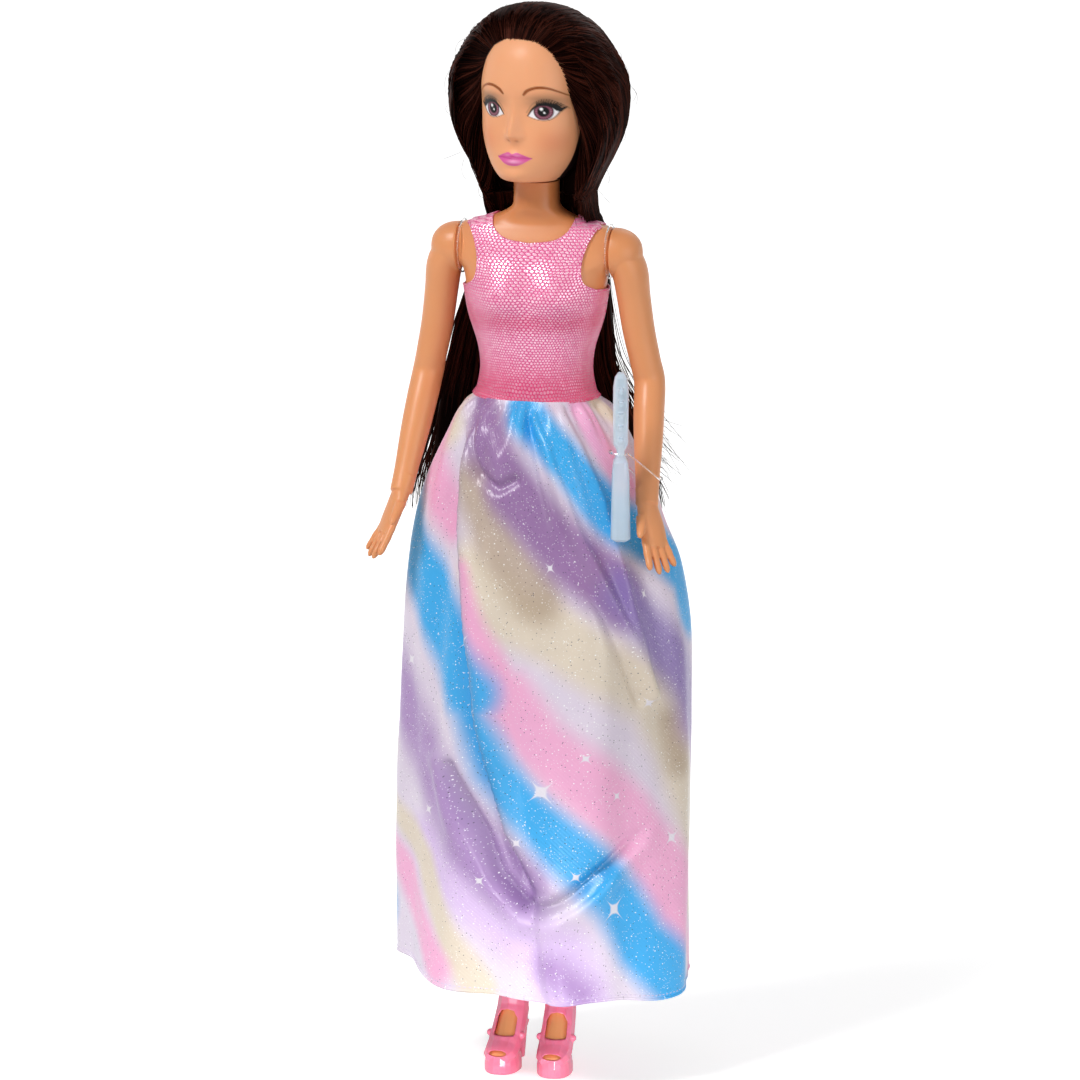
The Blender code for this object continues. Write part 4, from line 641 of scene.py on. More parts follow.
# Shares along the palm, a finger and the thumb, with their shares of the width and of the thickness
PALM = np.array([(-0.45, 0.58, 1.20), (0.0, 0.72, 1.30), (0.4, 0.94, 1.10), (0.8, 1.02, 0.95), (1.08, 0.95, 0.80)])
FINGER = np.array([(0, 1.0), (0.45, 1.02), (0.8, 0.90), (0.95, 0.66), (1.0, 0.30)])
THUMB = np.array([(0, 1.25), (0.4, 1.1), (0.75, 0.95), (0.93, 0.65), (1.0, 0.3)])
PALM_HALF_WIDTH, PALM_HALF_DEPTH = 0.0041, 0.0018
FINGER_RADIUS, FINGER_LENGTH, THUMB_RADIUS, THUMB_LENGTH = 0.00105, 0.0088, 0.00125, 0.0080
# Where each finger stands on the palm, its length and how far it fans out, as shares
FINGERS = ((-0.76, 0.86, -0.13), (-0.26, 1.00, -0.03), (0.24, 0.96, 0.06), (0.72, 0.78, 0.16))


def unit(way):
    return way / np.linalg.norm(way)


def make_arm(sign, look):
    """An arm moulded in one with its hand: a bent tube, a round shoulder cap, a palm, four fingers and a thumb."""
    face = SHOULDER_HALF_WIDTH + CLEARANCE
    shoulder = np.array([face + 0.55 * ARM_RADIUS, 0, SHOULDER_HEIGHT])
    elbow, wrist, end = np.array(ELBOW), np.array(WRIST), np.array(PALM_END)
    stations = []
    for share, shift, wide, deep in ARM_SHARES:
        below = share > 1
        a, b = (elbow, wrist) if below else (shoulder, elbow)
        middle = a + (b - a) * (share - below) + np.array([shift * ARM_RADIUS, 0, 0])
        stations.append((share, *middle, wide * ARM_RADIUS, deep * ARM_RADIUS))
    stations = np.array(stations)
    *path, wide, deep = sized(stations, (1,) * 5, np.linspace(stations[0, 0], stations[-1, 0], 90))
    path = np.column_stack(path)
    way = headings(path)
    side = np.array([1.0, 0.0, 0.0]) - way * way[:, :1]
    side /= np.linalg.norm(side, axis=1)[:, None]
    parts = [lofted("arm_tube", ringed(path, side, np.cross(way, side), wide, deep, 32))]

    out = np.linspace(0, 0.999, 14)
    angle = np.linspace(0, 2 * math.pi, 36, endpoint=False)
    radius = ARM_CAP_RADIUS * np.sqrt(np.clip(1 - out**2.4, 1e-4, 1))
    cap = np.stack([np.broadcast_to((face + out * 1.25 * ARM_CAP_RADIUS * 0.97)[:, None], (14, 36)),
                    radius[:, None] * np.cos(angle), SHOULDER_HEIGHT + radius[:, None] * np.sin(angle)], axis=-1)
    parts.append(lofted("arm_cap", cap))

    reach = unit(end - wrist)
    across = np.array([math.cos(math.radians(52)), math.sin(math.radians(52)), 0])
    across = unit(across - reach * across.dot(reach))
    back = np.cross(across, reach)

    def hand_part(name, middles, wide, deep):
        middles = np.array(middles)
        sides, backs = np.broadcast_to(across, middles.shape), np.broadcast_to(back, middles.shape)
        parts.append(lofted(name, ringed(middles, sides, backs, wide, deep, 20)))

    at = np.linspace(-0.45, 1.08, 16)
    hand_part("palm", [wrist + (end - wrist) * s for s in at],
              *sized(PALM, (PALM_HALF_WIDTH, PALM_HALF_DEPTH), at))
    at = np.linspace(0, 1, 14)
    for place, length, fan in FINGERS:
        root = end + across * PALM_HALF_WIDTH * place - reach * FINGER_RADIUS
        way = unit(reach + across * fan)
        # The joints of the fingers stand out a little.
        size = FINGER_RADIUS * curve_at(FINGER, at, 1) * (1 + 0.05 * np.cos(at * 2 * math.pi * 2.5))
        run = way * (FINGER_LENGTH * length + FINGER_RADIUS)
        hand_part("finger", [root + run * s - back * FINGER_RADIUS * s for s in at], size, size)
    root = wrist + (end - wrist) * 0.25 - across * PALM_HALF_WIDTH * 0.62
    way = unit(reach * 0.93 - across * 0.45 - back * 0.25)
    size = THUMB_RADIUS * curve_at(THUMB, at, 1)
    hand_part("thumb", [root + way * THUMB_LENGTH * s for s in at], size, size)

    side = "left" if sign > 0 else "right"
    arm = pressed(joined_as(f"{side}_arm_and_hand", parts), ARM_VOXEL, 6)
    if sign < 0:
        arm.data.transform(Matrix.Scale(-1, 4, (1, 0, 0)))
        outward(arm)
    rounded(arm)
    return dressed(arm, look, f"{side}_arm", "torso_plastic", f"{side}_arm")


def make_legs_and_shoes(skin, vinyl):
    for side in ("right", "left"):
        leg = refined(f"{side}_leg", f"{side}_leg_and_foot", LEG_VOXEL, 8)
        dressed(leg, skin, f"{side}_leg", "torso_plastic", f"{side}_leg")
        shoe = refined(f"{side}_shoe", f"{side}_moulded_shoe", SHOE_VOXEL, 4, 0.4)
        dressed(shoe, vinyl, f"{side}_leg", "pink_vinyl", f"{side}_shoe")


def shoe_vinyl():
    """Soft PVC slipped over the foot: hot pink, glossy, a little see-into, with a mould's faint orange-peel."""
    look, shader, add = new_finish("glossy_pink_pvc", "#FF7BA0", 0.26, IOR=1.53, Subsurface_Weight=0.35,
                                   Subsurface_Scale=0.001, Subsurface_Radius=(1.0, 0.3, 0.4))
    place = add("TexCoord", out="Object")
    tone = add("TexNoise", {"Vector": place, "Scale": 160.0, "Detail": 2.0})
    peel = add("TexNoise", {"Vector": place, "Scale": 900.0, "Detail": 1.0})
    feed(shader, {"Base Color": laid_over(add, "#FF7496", [(tone, 1.0, "#FF92AE")]),
                  "Normal": add("Bump", {"Height": peel, "Strength": 0.10, "Distance": 0.00008})})
    return look


# Top

DOT_PITCH, DOT_ROW_PITCH = 0.86, 0.86 * 1.73


def foil_dot_knit():
    """Stretch tricot with pearl foil dots 0.86 mm apart: a matt pink ground, and dots that catch the light."""
    look, shader, add = new_finish("pink_foil_dot_tricot", "#E8568F", 0.52, Sheen_Weight=0.15,
                                   Sheen_Roughness=0.4, Sheen_Tint="#FFC0DA")
    cloth = add("Attribute", out="Vector", attribute_name="cloth_mm", attribute_type="GEOMETRY")
    warp = add("TexNoise", {"Vector": cloth, "Scale": 0.35, "Detail": 2.0})
    moved = add("VectorMath", (warp.node.outputs["Color"], (0.9, 0.9, 0.0), cloth), operation="MULTIPLY_ADD")
    across, up, _ = add("SeparateXYZ", (moved,)).node.outputs
    reaches = []
    for shift in (0.0, 0.5):
        squares = []
        for axis, pitch in ((across, DOT_PITCH), (up, DOT_ROW_PITCH)):
            part = add("Math", (add("Math", (axis, pitch), operation="DIVIDE"), shift), operation="ADD")
            part = add("Math", (add("Math", (part,), operation="FRACT"), 0.5), operation="SUBTRACT")
            part = add("Math", (part, pitch), operation="MULTIPLY")
            squares.append(add("Math", (part, part), operation="MULTIPLY"))
        reaches.append(add("Math", (add("Math", squares, operation="ADD"),), operation="SQRT"))
    dot = add("MapRange", (add("Math", reaches, operation="MINIMUM"), 0.24, 0.39, 1.0, 0.0))
    # Each dot's foil is pressed a little differently, so some are brighter.
    cell = add("TexVoronoi", {"Vector": moved, "Scale": 1.05}, "Color", feature="F1")
    bright = add("Math", (dot, add("MapRange", (cell, 0.1, 0.9, 0.55, 1.0))), operation="MULTIPLY")
    # Painted shade under the bust and towards the hem turns the ground a deeper pink and dims its dots.
    low = add("MapRange", (up, 193.0, 206.0, 0.0, 1.0), interpolation_type="SMOOTHSTEP")
    away = add("Math", (add("Math", (up, 213.0), operation="SUBTRACT"),), operation="ABSOLUTE")
    outside_bust_shadow = add("MapRange", (away, 0.5, 4.5, 0.35, 1.0), interpolation_type="SMOOTHSTEP")
    lit_share = add("Math", (low, outside_bust_shadow), operation="MULTIPLY")
    level = add("Math", (lit_share, 0.55, 0.45), operation="MULTIPLY_ADD")
    bright = add("Math", (bright, level), operation="MULTIPLY")
    # A shaded and a lit copy of the ground pink.
    shaded_pink = laid_over(add, "#D8306C", [(warp, 0.8, "#C42862")])
    lit_pink = laid_over(add, "#DE5892", [(warp, 0.8, "#D24684")])
    # Knit wales are 0.25 mm apart.
    wales = add("TexWave", {"Vector": cloth, "Scale": 0.64, "Distortion": 0.6}, "Fac", wave_type="BANDS",
                bands_direction="X")
    height = add("Math", (wales, 0.25, dot), operation="MULTIPLY_ADD")
    feed(shader, {"Base Color": laid_over(add, shaded_pink, ((lit_share, 1.0, lit_pink), (bright, 0.95, "#FFD0E0"))),
                  "Roughness": add("Math", (dot, -0.28, 0.52), operation="MULTIPLY_ADD"),
                  "Metallic": add("Math", (dot, 0.35), operation="MULTIPLY"),
                  "Normal": add("Bump", {"Height": height, "Strength": 0.55, "Distance": 0.00012})})
    return look


def flat_area(outline, spacing):
    """A flat outline filled with evenly placed points, as triangles."""
    rim = []
    for a, b in zip(outline, np.roll(outline, -1, axis=0)):
        steps = max(int(np.linalg.norm(b - a) / spacing), 1)
        rim += [a + (b - a) * k / steps for k in range(steps)]
    rim = np.array(rim)
    low, high = outline.min(axis=0), outline.max(axis=0)
    inner = []
    for k, v in enumerate(np.arange(low[1] + spacing / 2, high[1], spacing * 0.87)):
        inner += [(u, v) for u in np.arange(low[0] + spacing * (0.25 + 0.5 * (k % 2)), high[0], spacing)]
    inner = [point for point in np.array(inner) if np.min(np.hypot(*(rim - point).T)) > 0.55 * spacing]
    ring = list(range(len(rim)))
    edges = [(i, (i + 1) % len(ring)) for i in ring]
    found, _, faces, *_ = delaunay_2d_cdt([Vector(p) for p in (*rim, *inner)], edges, [ring], 1, 1e-7)
    return np.array([(p.x, p.y) for p in found]), [tuple(f) for f in faces], rim


def turn_of(x, height):
    """The turn on the front panel at which the torso stands at x."""
    half = TORSO_SIZES[0] * curve_at(TORSO_SHARES, neck_share(height), 1)
    c = np.clip(x / half, -1, 1)
    return float(math.pi - np.arccos(np.sign(c) * np.abs(c) ** (TORSO_POWER / 2)))


def edge_line(shares, at, place):
    """A cut edge as turns and heights: place(out, up) gives x and the height for shares of its width and rise."""
    rows = np.column_stack([np.linspace(0, 1, len(shares)), shares])
    places = [place(out, up) for out, up in zip(curve_at(rows, at, 1), curve_at(rows, at, 2))]
    line = [(turn_of(x, height), height) for x, height in places]
    return [(turn, height) for turn, height in line if turn < math.pi - 0.02]


def panel_outline(neck_bottom):
    """Half of a panel: the hem's middle, the side seam, the armhole, the strap and the neckline's middle."""
    run, rise, top = STRAP_OUTER - ARMHOLE_IN, STRAP_TOP - ARMHOLE_BOTTOM, STRAP_TOP - neck_bottom
    armhole = edge_line(ARMHOLE_SHARES, np.linspace(0, 1, 40),
                        lambda out, up: (ARMHOLE_IN + out * run, ARMHOLE_BOTTOM + up * rise))
    neckline = edge_line(NECKLINE_SHARES, np.linspace(1, 0, 40),
                         lambda out, up: (NECKLINE_HALF_WIDTH * out, neck_bottom + up * top))
    outline = [(math.pi / 2, BODICE_HEM), (math.pi, BODICE_HEM), (math.pi, ARMHOLE_BOTTOM)]
    outline += [(turn, height) for turn, height in armhole if height < 0.2395]
    # The strap passes over the shoulder's top.
    outline += [(math.pi, min(outline[-1][1] + 0.0006, 0.2385)), (math.pi, max(neckline[0][1] - 0.0004, 0.2392))]
    return outline + neckline


# The flat pattern's scale, and the cloth's thickness, its turned edge's radius and its points' spacing
MM_A_RADIAN, KNIT_THICKNESS, TURNED_RADIUS, KNIT_SPACING_MM = 16.0, 0.00045, 0.00032, 0.62


def make_panel(name, neck_bottom, behind, sides, look, *nodes):
    """One panel of the top: cut flat, laid over the torso, given its cloth's thickness and turned edges."""
    half = np.array(panel_outline(neck_bottom))
    half[:, 0] = (half[:, 0] - math.pi / 2) * MM_A_RADIAN
    half[:, 1] = half[:, 1] * 1000
    if sides == "both":
        outline = np.vstack([half, (half * (-1, 1))[-2:0:-1]])
    else:
        # The back slit stands open by 0.6 mm.
        half[[0, -1], 0] = 0.3
        outline = (half * (-1, 1))[::-1] if sides == "right" else half
    flat, faces, rim = flat_area(outline, KNIT_SPACING_MM)

    def laid(points, out):
        turn = points[:, 0] / MM_A_RADIAN + math.pi / 2
        # The hem lies over the skirt's gathered top.
        out = out + 0.0008 * ease(-points[:, 1], -192.6, -190.4)
        x, y, z = body_surface(math.pi - turn if behind else math.pi + turn, neck_share(points[:, 1] / 1000), out)
        z = z - 0.0016 * bump(x, 0.012) * ease(-points[:, 1], -196, -191)
        return np.column_stack([x, y, z])

    piece = faced(name, laid(flat, CLEARANCE + 0.00005), faces)
    write_places(piece.data, "cloth_mm", flat, np.zeros(len(flat)))
    with edited(piece) as body:
        if (sum(f.normal.y * f.calc_area() for f in body.faces) < 0) == behind:
            bmesh.ops.reverse_faces(body, faces=body.faces)
    apply_modifier(piece, "SOLIDIFY", thickness=KNIT_THICKNESS, offset=1.0, use_rim=True)

    edge = laid(rim, CLEARANCE + 0.00035)
    cord = bpy.data.curves.new(name + "_turned_edge", "CURVE")
    cord.dimensions, cord.bevel_depth, cord.bevel_resolution, cord.use_fill_caps = "3D", TURNED_RADIUS, 1, True
    spline = cord.splines.new("POLY")
    spline.points.add(len(edge))
    for knot, point in zip(spline.points, (*edge, edge[0])):
        knot.co = (*point, 1)
    choose(linked(name + "_turned_edge", cord))
    bpy.ops.object.convert(target="MESH")
    hem = bpy.context.object
    x, y, z = 1000 * read_points(hem.data).T
    write_places(hem.data, "cloth_mm", x, z, y)
    whole = joined_as(name, [piece, hem])
    rounded(whole)
    return dressed(whole, look, "torso", "pink_dot_knit", *nodes)


# Skirt

# Airbrushed strokes of the print, in the order they were laid: the ink, the line's places in mm round the cloth
# and mm up, its half-width at each end and its softness
STROKES = [
    ("ink_lilac", [(-30, 66), (-14.8, 58.9), (-2.9, 48.6), (9, 43), (14, 30)], 8.0, 8.0, 5.0),
    ("ink_cream", [(-60, 188), (-40.8, 180.8)], 5.5, 5.0, 3.5),
    ("ink_cream", [(44, 192), (54, 186)], 3.0, 3.0, 2.5),
    ("ink_cream", [(-14, 146), (-4.5, 134.8), (9.6, 129.9), (24, 120.7), (37.6, 112), (46, 99), (52, 84), (58, 70)],
     7.0, 8.5, 4.5),
    ("ink_cream", [(-58, 90), (-50, 75), (-30.2, 62.1), (-19.3, 44.3), (-10, 30)], 3.2, 3.6, 2.8),
    ("ink_sand", [(-18.9, 171), (-8.0, 155.9), (3, 141)], 5.0, 6.5, 4.5),
    ("ink_sand", [(44, 104), (47, 92)], 2.5, 3.0, 3.5),
    ("ink_pink", [(31, 192), (35.6, 181.4), (40, 170)], 5.0, 5.5, 3.0),
    ("ink_pink", [(-52, 182), (-43.3, 172), (-27.9, 158)], 7.0, 5.0, 3.5),
    ("ink_pink", [(-17.7, 146), (-13.2, 131), (-8.0, 118)], 2.0, 5.0, 2.5),
    ("ink_pink", [(-4, 113), (5.1, 100.6), (16, 90), (29, 78), (42, 62), (54, 44)], 6.5, 9.0, 4.0),
    ("ink_pink", [(-52, 62), (-41.7, 54.6), (-33.7, 44), (-24, 34)], 4.5, 4.5, 3.0),
    ("ink_blue", [(-57, 166), (-46, 152), (-32, 137.5), (-21.5, 123.9), (-15, 113.6)], 6.5, 8.0, 3.5),
    ("ink_blue", [(-17, 113), (-12.5, 104), (-7, 92), (1, 82), (10, 73.5), (19.3, 64.9), (27, 56),
     (34, 44), (49, 30), (58, 20)],
     4.0, 8.5, 3.5),
    ("ink_blue", [(-4.8, 190), (8, 183.6), (17, 176.5), (23.8, 167.8), (31.8, 159.7), (46, 153),
     (57, 144), (58, 134)],
     5.5, 7.0, 3.0),
    ("ink_purple", [(-30, 192), (-22, 184), (-9.6, 176), (2.2, 164.6), (14.1, 151.6), (28, 140)], 6.5, 8.0, 4.0),
    ("ink_mauve", [(-60, 126), (-44, 108), (-31, 92), (-19.3, 77), (-10.3, 68.3), (0, 60.5)], 7.5, 7.5, 5.0),
    ("ink_mauve", [(9, 38), (16, 31)], 3.5, 3.5, 4.5),
    ("ink_violet", [(28, 141), (38, 130), (48, 119), (58, 104)], 6.0, 6.5, 4.5),
]
# Printed glints: mm round, mm up, reach of the rays in mm
GLINTS = [
    (-16.4, 127.2, 6.2), (5.5, 87.1, 6.8), (25.0, 54.0, 6.4), (-12.8, 107.7, 3.4), (-29.5, 77.3, 3.6),
    (16.4, 96.8, 3.4),
    (25.4, 85.5, 3.2), (-0.6, 72.4, 3.4), (14.4, 63.8, 3.4), (36.0, 110.4, 3.6), (-9.3, 61.1, 3.4),
    (37.0, 140.0, 3.2),
    (44.0, 72.0, 4.6), (-40.0, 118.0, 4.0), (8.0, 148.0, 3.0), (99.2, 105.2, 6.2), (75.6, 62.0, 5.2),
    (84.0, 140.0, 4.0),
    (-104.0, 104.0, 6.4), (-86.0, 72.0, 4.6), (-74.0, 146.0, 5.4)]
# The rolled fold on the doll's right, and the lines that creases follow: mm round the cloth, mm up
ROLL = np.array([(15, 12.0), (32.9, 7.1), (59.4, 4.5), (74.6, -3.5), (105.5, -11.9), (119.6, -13.5), (131, -16.5),
                 (147.0, -19.3), (167.0, -22.5), (178, -27.0), (188, -40.0)])
SWAG = [(-20, 92), (-15.1, 83.8), (-10.0, 75.0), (-5.1, 63.2), (1.6, 55.1), (5.8, 54.6), (13.2, 58.4),
        (20, 64.8), (37.6, 76.8), (46.9, 82)]
SWAG_CENTRE, SWAG_RISE = np.array([8.0, 92.0]), 4.6
SWAG_AWAY = np.array(SWAG) - SWAG_CENTRE
SWAG_RIDGE = np.array(SWAG) + SWAG_AWAY / np.linalg.norm(SWAG_AWAY, axis=1)[:, None] * SWAG_RISE
WAIST_SWELL = [(-16, 184), (-9, 177)]
WAIST_PUFF = [(-28.2, 190.1), (-24.0, 180.0), (-17, 172), (-7.4, 168.5), (-1.9, 171.0)]
FRONT_PLEAT = [(3.2, 190.0), (9.5, 180.3), (13.5, 167.3), (17.0, 156.5), (21, 146), (28, 132), (37, 112.6)]
FRONT_VALLEY = np.array(FRONT_PLEAT) - (4.2, 0.6)
SIDE_PLEAT = [(20, 190), (24, 180), (27, 165), (30, 138), (38, 112)]
MM_A_DEGREE = 0.642
# The print comes again half a skirt further on, and a little lower each time: mm across and up
REPEATS = [(0, 0), (115.6, -22), (-115.6, 22)]


def gap_to(s, t, points, widths=(0.0, 0.0)):
    """Distance in mm from places on the cloth to a line drawn on it, less the line's half-width there."""
    best = np.full_like(s, 1e9)
    spans = len(points) - 1
    for k, (a, b) in enumerate(zip(points[:-1], points[1:])):
        run = (b[0] - a[0], b[1] - a[1])
        f = np.clip(((s - a[0]) * run[0] + (t - a[1]) * run[1]) / (run[0] ** 2 + run[1] ** 2), 0, 1)
        wide = widths[0] + (widths[1] - widths[0]) * (k + f) / spans
        best = np.minimum(best, np.hypot(s - a[0] - f * run[0], t - a[1] - f * run[1]) - wide)
    return best


def wander(s, t, seed, size):
    """Slow unevenness, so that no two gathers or folds are alike."""
    return (np.sin(s / size + seed) * np.cos(t / (1.7 * size) + 2.1 * seed)
            + 0.6 * np.sin(1.9 * s / size + 0.8 * t / size + 3.3 * seed)) / 1.6


def skirt_surface(angle, share):
    """A point of the hanging cloth, from its gathers at the waist to its long folds and hem."""
    half, front, back, shift = sized(SKIRT_SHARES, SKIRT_SIZES, share)
    x, y = egg(angle, half, front, back)
    turn = (np.degrees(angle) + 90 + 180) % 360 - 180
    height = SKIRT_TOP - share * (SKIRT_TOP - SKIRT_HEM)
    s, t = MM_A_DEGREE * turn, 1000 * height
    near_waist = np.minimum(share / 0.012, 1) * np.exp(-share / 0.10)
    fine = 1.0 * np.cos(3 * GATHERS * angle + 1.4 * wander(s, t, 0.7, 9.0)) * np.exp(-share / 0.06)
    fine = fine * (0.75 + 0.35 * wander(s, t, 2.9, 6.0))
    gathers = 1.9 * np.cos(GATHERS * angle + 1.2 + 1.1 * wander(s, t, 0.7, 9.0)) + fine
    long_folds = np.minimum(share / 0.25, 1)
    ripple = np.cos(17 * angle - 3.0 * share + 1.5 * wander(s, t, 1.3, 22.0)) * (1 - 0.5 * share)
    depth = (GATHER_DEPTH * near_waist * gathers + FOLD_DEPTH * long_folds * np.cos(FOLDS * angle + 2.2 * share)
             + 0.00055 * long_folds * ripple + 0.00014 * wander(s, t, 4.2, 3.4) + 0.00030 * wander(s, t, 5.1, 8.0))
    # The roll on the doll's right: a step inwards, and a low ridge beside it
    edge = s - np.interp(t, ROLL[:, 0], ROLL[:, 1])
    held = ease(share, 0.02, 0.16) * (1 - 0.6 * ease(share, 0.75, 1.0))
    step = np.where(edge < 0, -0.0042 * np.exp(edge / 6.5) * ease(-edge, 0.0, 1.1), 0)
    depth += held * (step + 0.0013 * bump(edge - 2.6, 3.2))
    # Creases: the line, how far the cloth stands out or in along it, its reach in mm, and where it fades in
    swag_fades, below_waist = 1 - ease(s, 22, 40), ease(share, 0.0, 0.04)
    for line, out, wide, fades in (
            (SWAG_RIDGE, 0.0026, 4.0, swag_fades), (SWAG, -0.0024, 1.7, swag_fades),
            (FRONT_PLEAT, 0.0019, 2.0, below_waist), (FRONT_VALLEY, -0.0016, 2.2, below_waist),
            (SIDE_PLEAT, 0.0013, 1.9, below_waist), (WAIST_PUFF, -0.0018, 1.6, ease(share, 0.0, 0.03)),
            (WAIST_SWELL, 0.0019, 4.5, ease(share, 0.0, 0.05))):
        depth += out * bump(gap_to(s, t, line), wide) * fades
    reach = np.hypot(x, y)
    # The top edge is sewn to the waist, under the top's hem.
    tx, ty, _ = body_surface(angle, neck_share(SKIRT_TOP) + 0 * angle, 0.0009)
    sewn = np.exp(-share / 0.010)
    depth = depth * (1 - sewn) + sewn * (np.hypot(tx, ty) - reach)
    size = (reach + depth) / reach
    lift = 0.0045 * bump(turn + 72, 34) - 0.0022 * bump(turn - 80, 45) + 0.0005 * np.cos(7 * angle)
    return x * size + shift, y * size - 0.6 * shift, height + ease(share, 0.6, 1.0) * lift, s, t


# The inks of the print, in the order they lie: mask, strength and colour
PRINT_INKS = (("ink_lilac", 0.90, "#E3C8F0"), ("ink_cream", 0.95, "#E9DCC2"), ("ink_sand", 0.85, "#BDA88C"),
              ("ink_pink", 0.95, "#FBB2D6"), ("ink_mauve", 0.93, "#B08CC4"), ("ink_blue", 0.97, "#1FB2F2"),
              ("ink_purple", 0.93, "#9468A0"), ("ink_violet", 0.90, "#8C74B6"))
# Glitter specks about 0.15 mm across and 0.6 mm apart: how many a mm, their reach as a share of that spacing, the
# share left out, the strength and the colour
SPECKS = ((1.80, 0.19, 0.45, 0.75, "#FFFFFF"), (1.00, 0.13, 0.42, 0.90, "#2C2440"),
          (0.70, 0.12, 0.50, 0.95, "#FFFFFF"))


def satin_print():
    """Polyester satin, airbrushed: smooth, a broad soft gloss, the finest twill, glitter specks in the ink and
    painted crease shade.
    """
    look, shader, add = new_finish("printed_polyester_satin", "#D9C2EA", 0.34, Sheen_Weight=0.15,
                                   Sheen_Roughness=0.35, Sheen_Tint="#E8F2FF")

    def mask(name):
        return add("Attribute", out="Fac", attribute_name=name, attribute_type="GEOMETRY")

    cloth = add("Attribute", out="Vector", attribute_name="cloth_mm", attribute_type="GEOMETRY")
    cloud = add("TexNoise", {"Vector": cloth, "Scale": 0.10, "Detail": 3.0})
    colour = laid_over(add, "#E7DCEC", [(0.5, 1.0, "#EDE2EA")]
                       + [(mask(name), strength, ink) for name, strength, ink in PRINT_INKS])
    tint = laid_over(add, "#F6F3FA", [(cloud, 1.0, "#DAD6E4")])
    # Painted shade: the crease mask darkens the print along the swag and the roll's step.
    shade = add("Math", (mask("crease"), 0.42), operation="MULTIPLY")
    for share, darker in ((0.55, tint), (shade, "#7A6C92")):
        colour = add("Mix", {0: share, 6: colour, 7: darker}, 2, data_type="RGBA", blend_type="MULTIPLY")
    for scale, size, left_out, strength, ink in SPECKS:
        distance, kind, *_ = add("TexVoronoi", {"Vector": cloth, "Scale": scale}, feature="F1").node.outputs
        speck = add("MapRange", (distance, size * 0.75, size * 1.25, 1.0, 0.0))
        keep = add("Math", (add("SeparateColor", (kind,)), left_out), operation="GREATER_THAN")
        colour = laid_over(add, colour, [(add("Math", (speck, keep), operation="MULTIPLY"), strength, ink)])
    stars = 0.0
    for k, (across, up, reach) in enumerate(GLINTS):
        lean = math.radians(38 + 4 * (k % 4))
        turned = add("Mapping", (cloth, (across, up, 0), (0, 0, lean), (reach, reach, 1)), vector_type="TEXTURE")
        axes = add("SeparateXYZ", (turned,)).node.outputs[:2]
        sides = [add("Math", (axis,), operation="ABSOLUTE") for axis in axes]
        rays = [add("Math", (side, 0.36), operation="POWER") for side in sides]
        star = add("MapRange", (add("Math", rays, operation="ADD"), 0.86, 1.06, 1.0, 0.0))
        core = add("MapRange", (add("Math", sides, operation="ADD"), 0.24, 0.34, 1.0, 0.0))
        stars = add("Math", (stars, add("Math", (star, core), operation="MAXIMUM")), operation="MAXIMUM")
    # Twill threads of 0.1 mm, drawn 0.3 mm apart so that they show.
    twill = add("TexWave", {"Vector": cloth, "Scale": 0.55, "Distortion": 0.4}, "Fac", wave_type="BANDS",
                bands_direction="DIAGONAL")
    crinkle = add("TexNoise", {"Vector": cloth, "Scale": 0.32, "Detail": 4.0})
    height = add("Math", (twill, 0.10, crinkle), operation="MULTIPLY_ADD")
    feed(shader, {"Base Color": laid_over(add, colour, [(stars, 0.92, "#E9E4EC")]),
                  "Roughness": add("Math", (crinkle, 0.14, 0.24), operation="MULTIPLY_ADD"),
                  "Normal": add("Bump", {"Height": height, "Strength": 0.35, "Distance": 0.0006})})
    return look


def printed(mesh, s, t):
    """Writes where each point lies on the print, how much of each ink falls on it, and the painted shade in its
    creases.
    """
    write_places(mesh, "cloth_mm", s, t, np.zeros_like(s))
    masks = {}
    for ink, points, first, last, soft in STROKES:
        for across, up in REPEATS:
            moved = [(a + across, b + up) for a, b in points]
            near = gap_to(s, t, moved, (first + 0.9, last + 0.9)) + 0.9 * wander(s, t, 3.7, 7.0)
            masks[ink] = np.maximum(masks.get(ink, 0), 1 - ease(near, -soft, soft))
    # Painted shade along the swag's crease and the roll's step, where the folds lie in shade.
    creases = np.minimum(gap_to(s, t, SWAG) + 9 * ease(s, 22, 40), gap_to(s, t, ROLL[2:-1, ::-1]) + 0.5)
    masks["crease"] = np.exp(-(np.maximum(creases, 0) / 2.0) ** 1.5)
    for ink, mask in masks.items():
        write_values(mesh, ink, mask)


def swings(piece):
    """Bakes the piece's place into its mesh; it reads the cloth places but does not move the cloth."""
    spot = piece.data.attributes["cloth_mm"].data
    cloth = np.empty(3 * len(spot), np.float32)
    spot.foreach_get("vector", cloth)
    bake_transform(piece)


HEM_STEPS, STITCHES = 400, 88
SATIN_THICKNESS, HEM_FOLD_RADIUS, STITCH_RADIUS = 0.00030, 0.00036, 0.00010


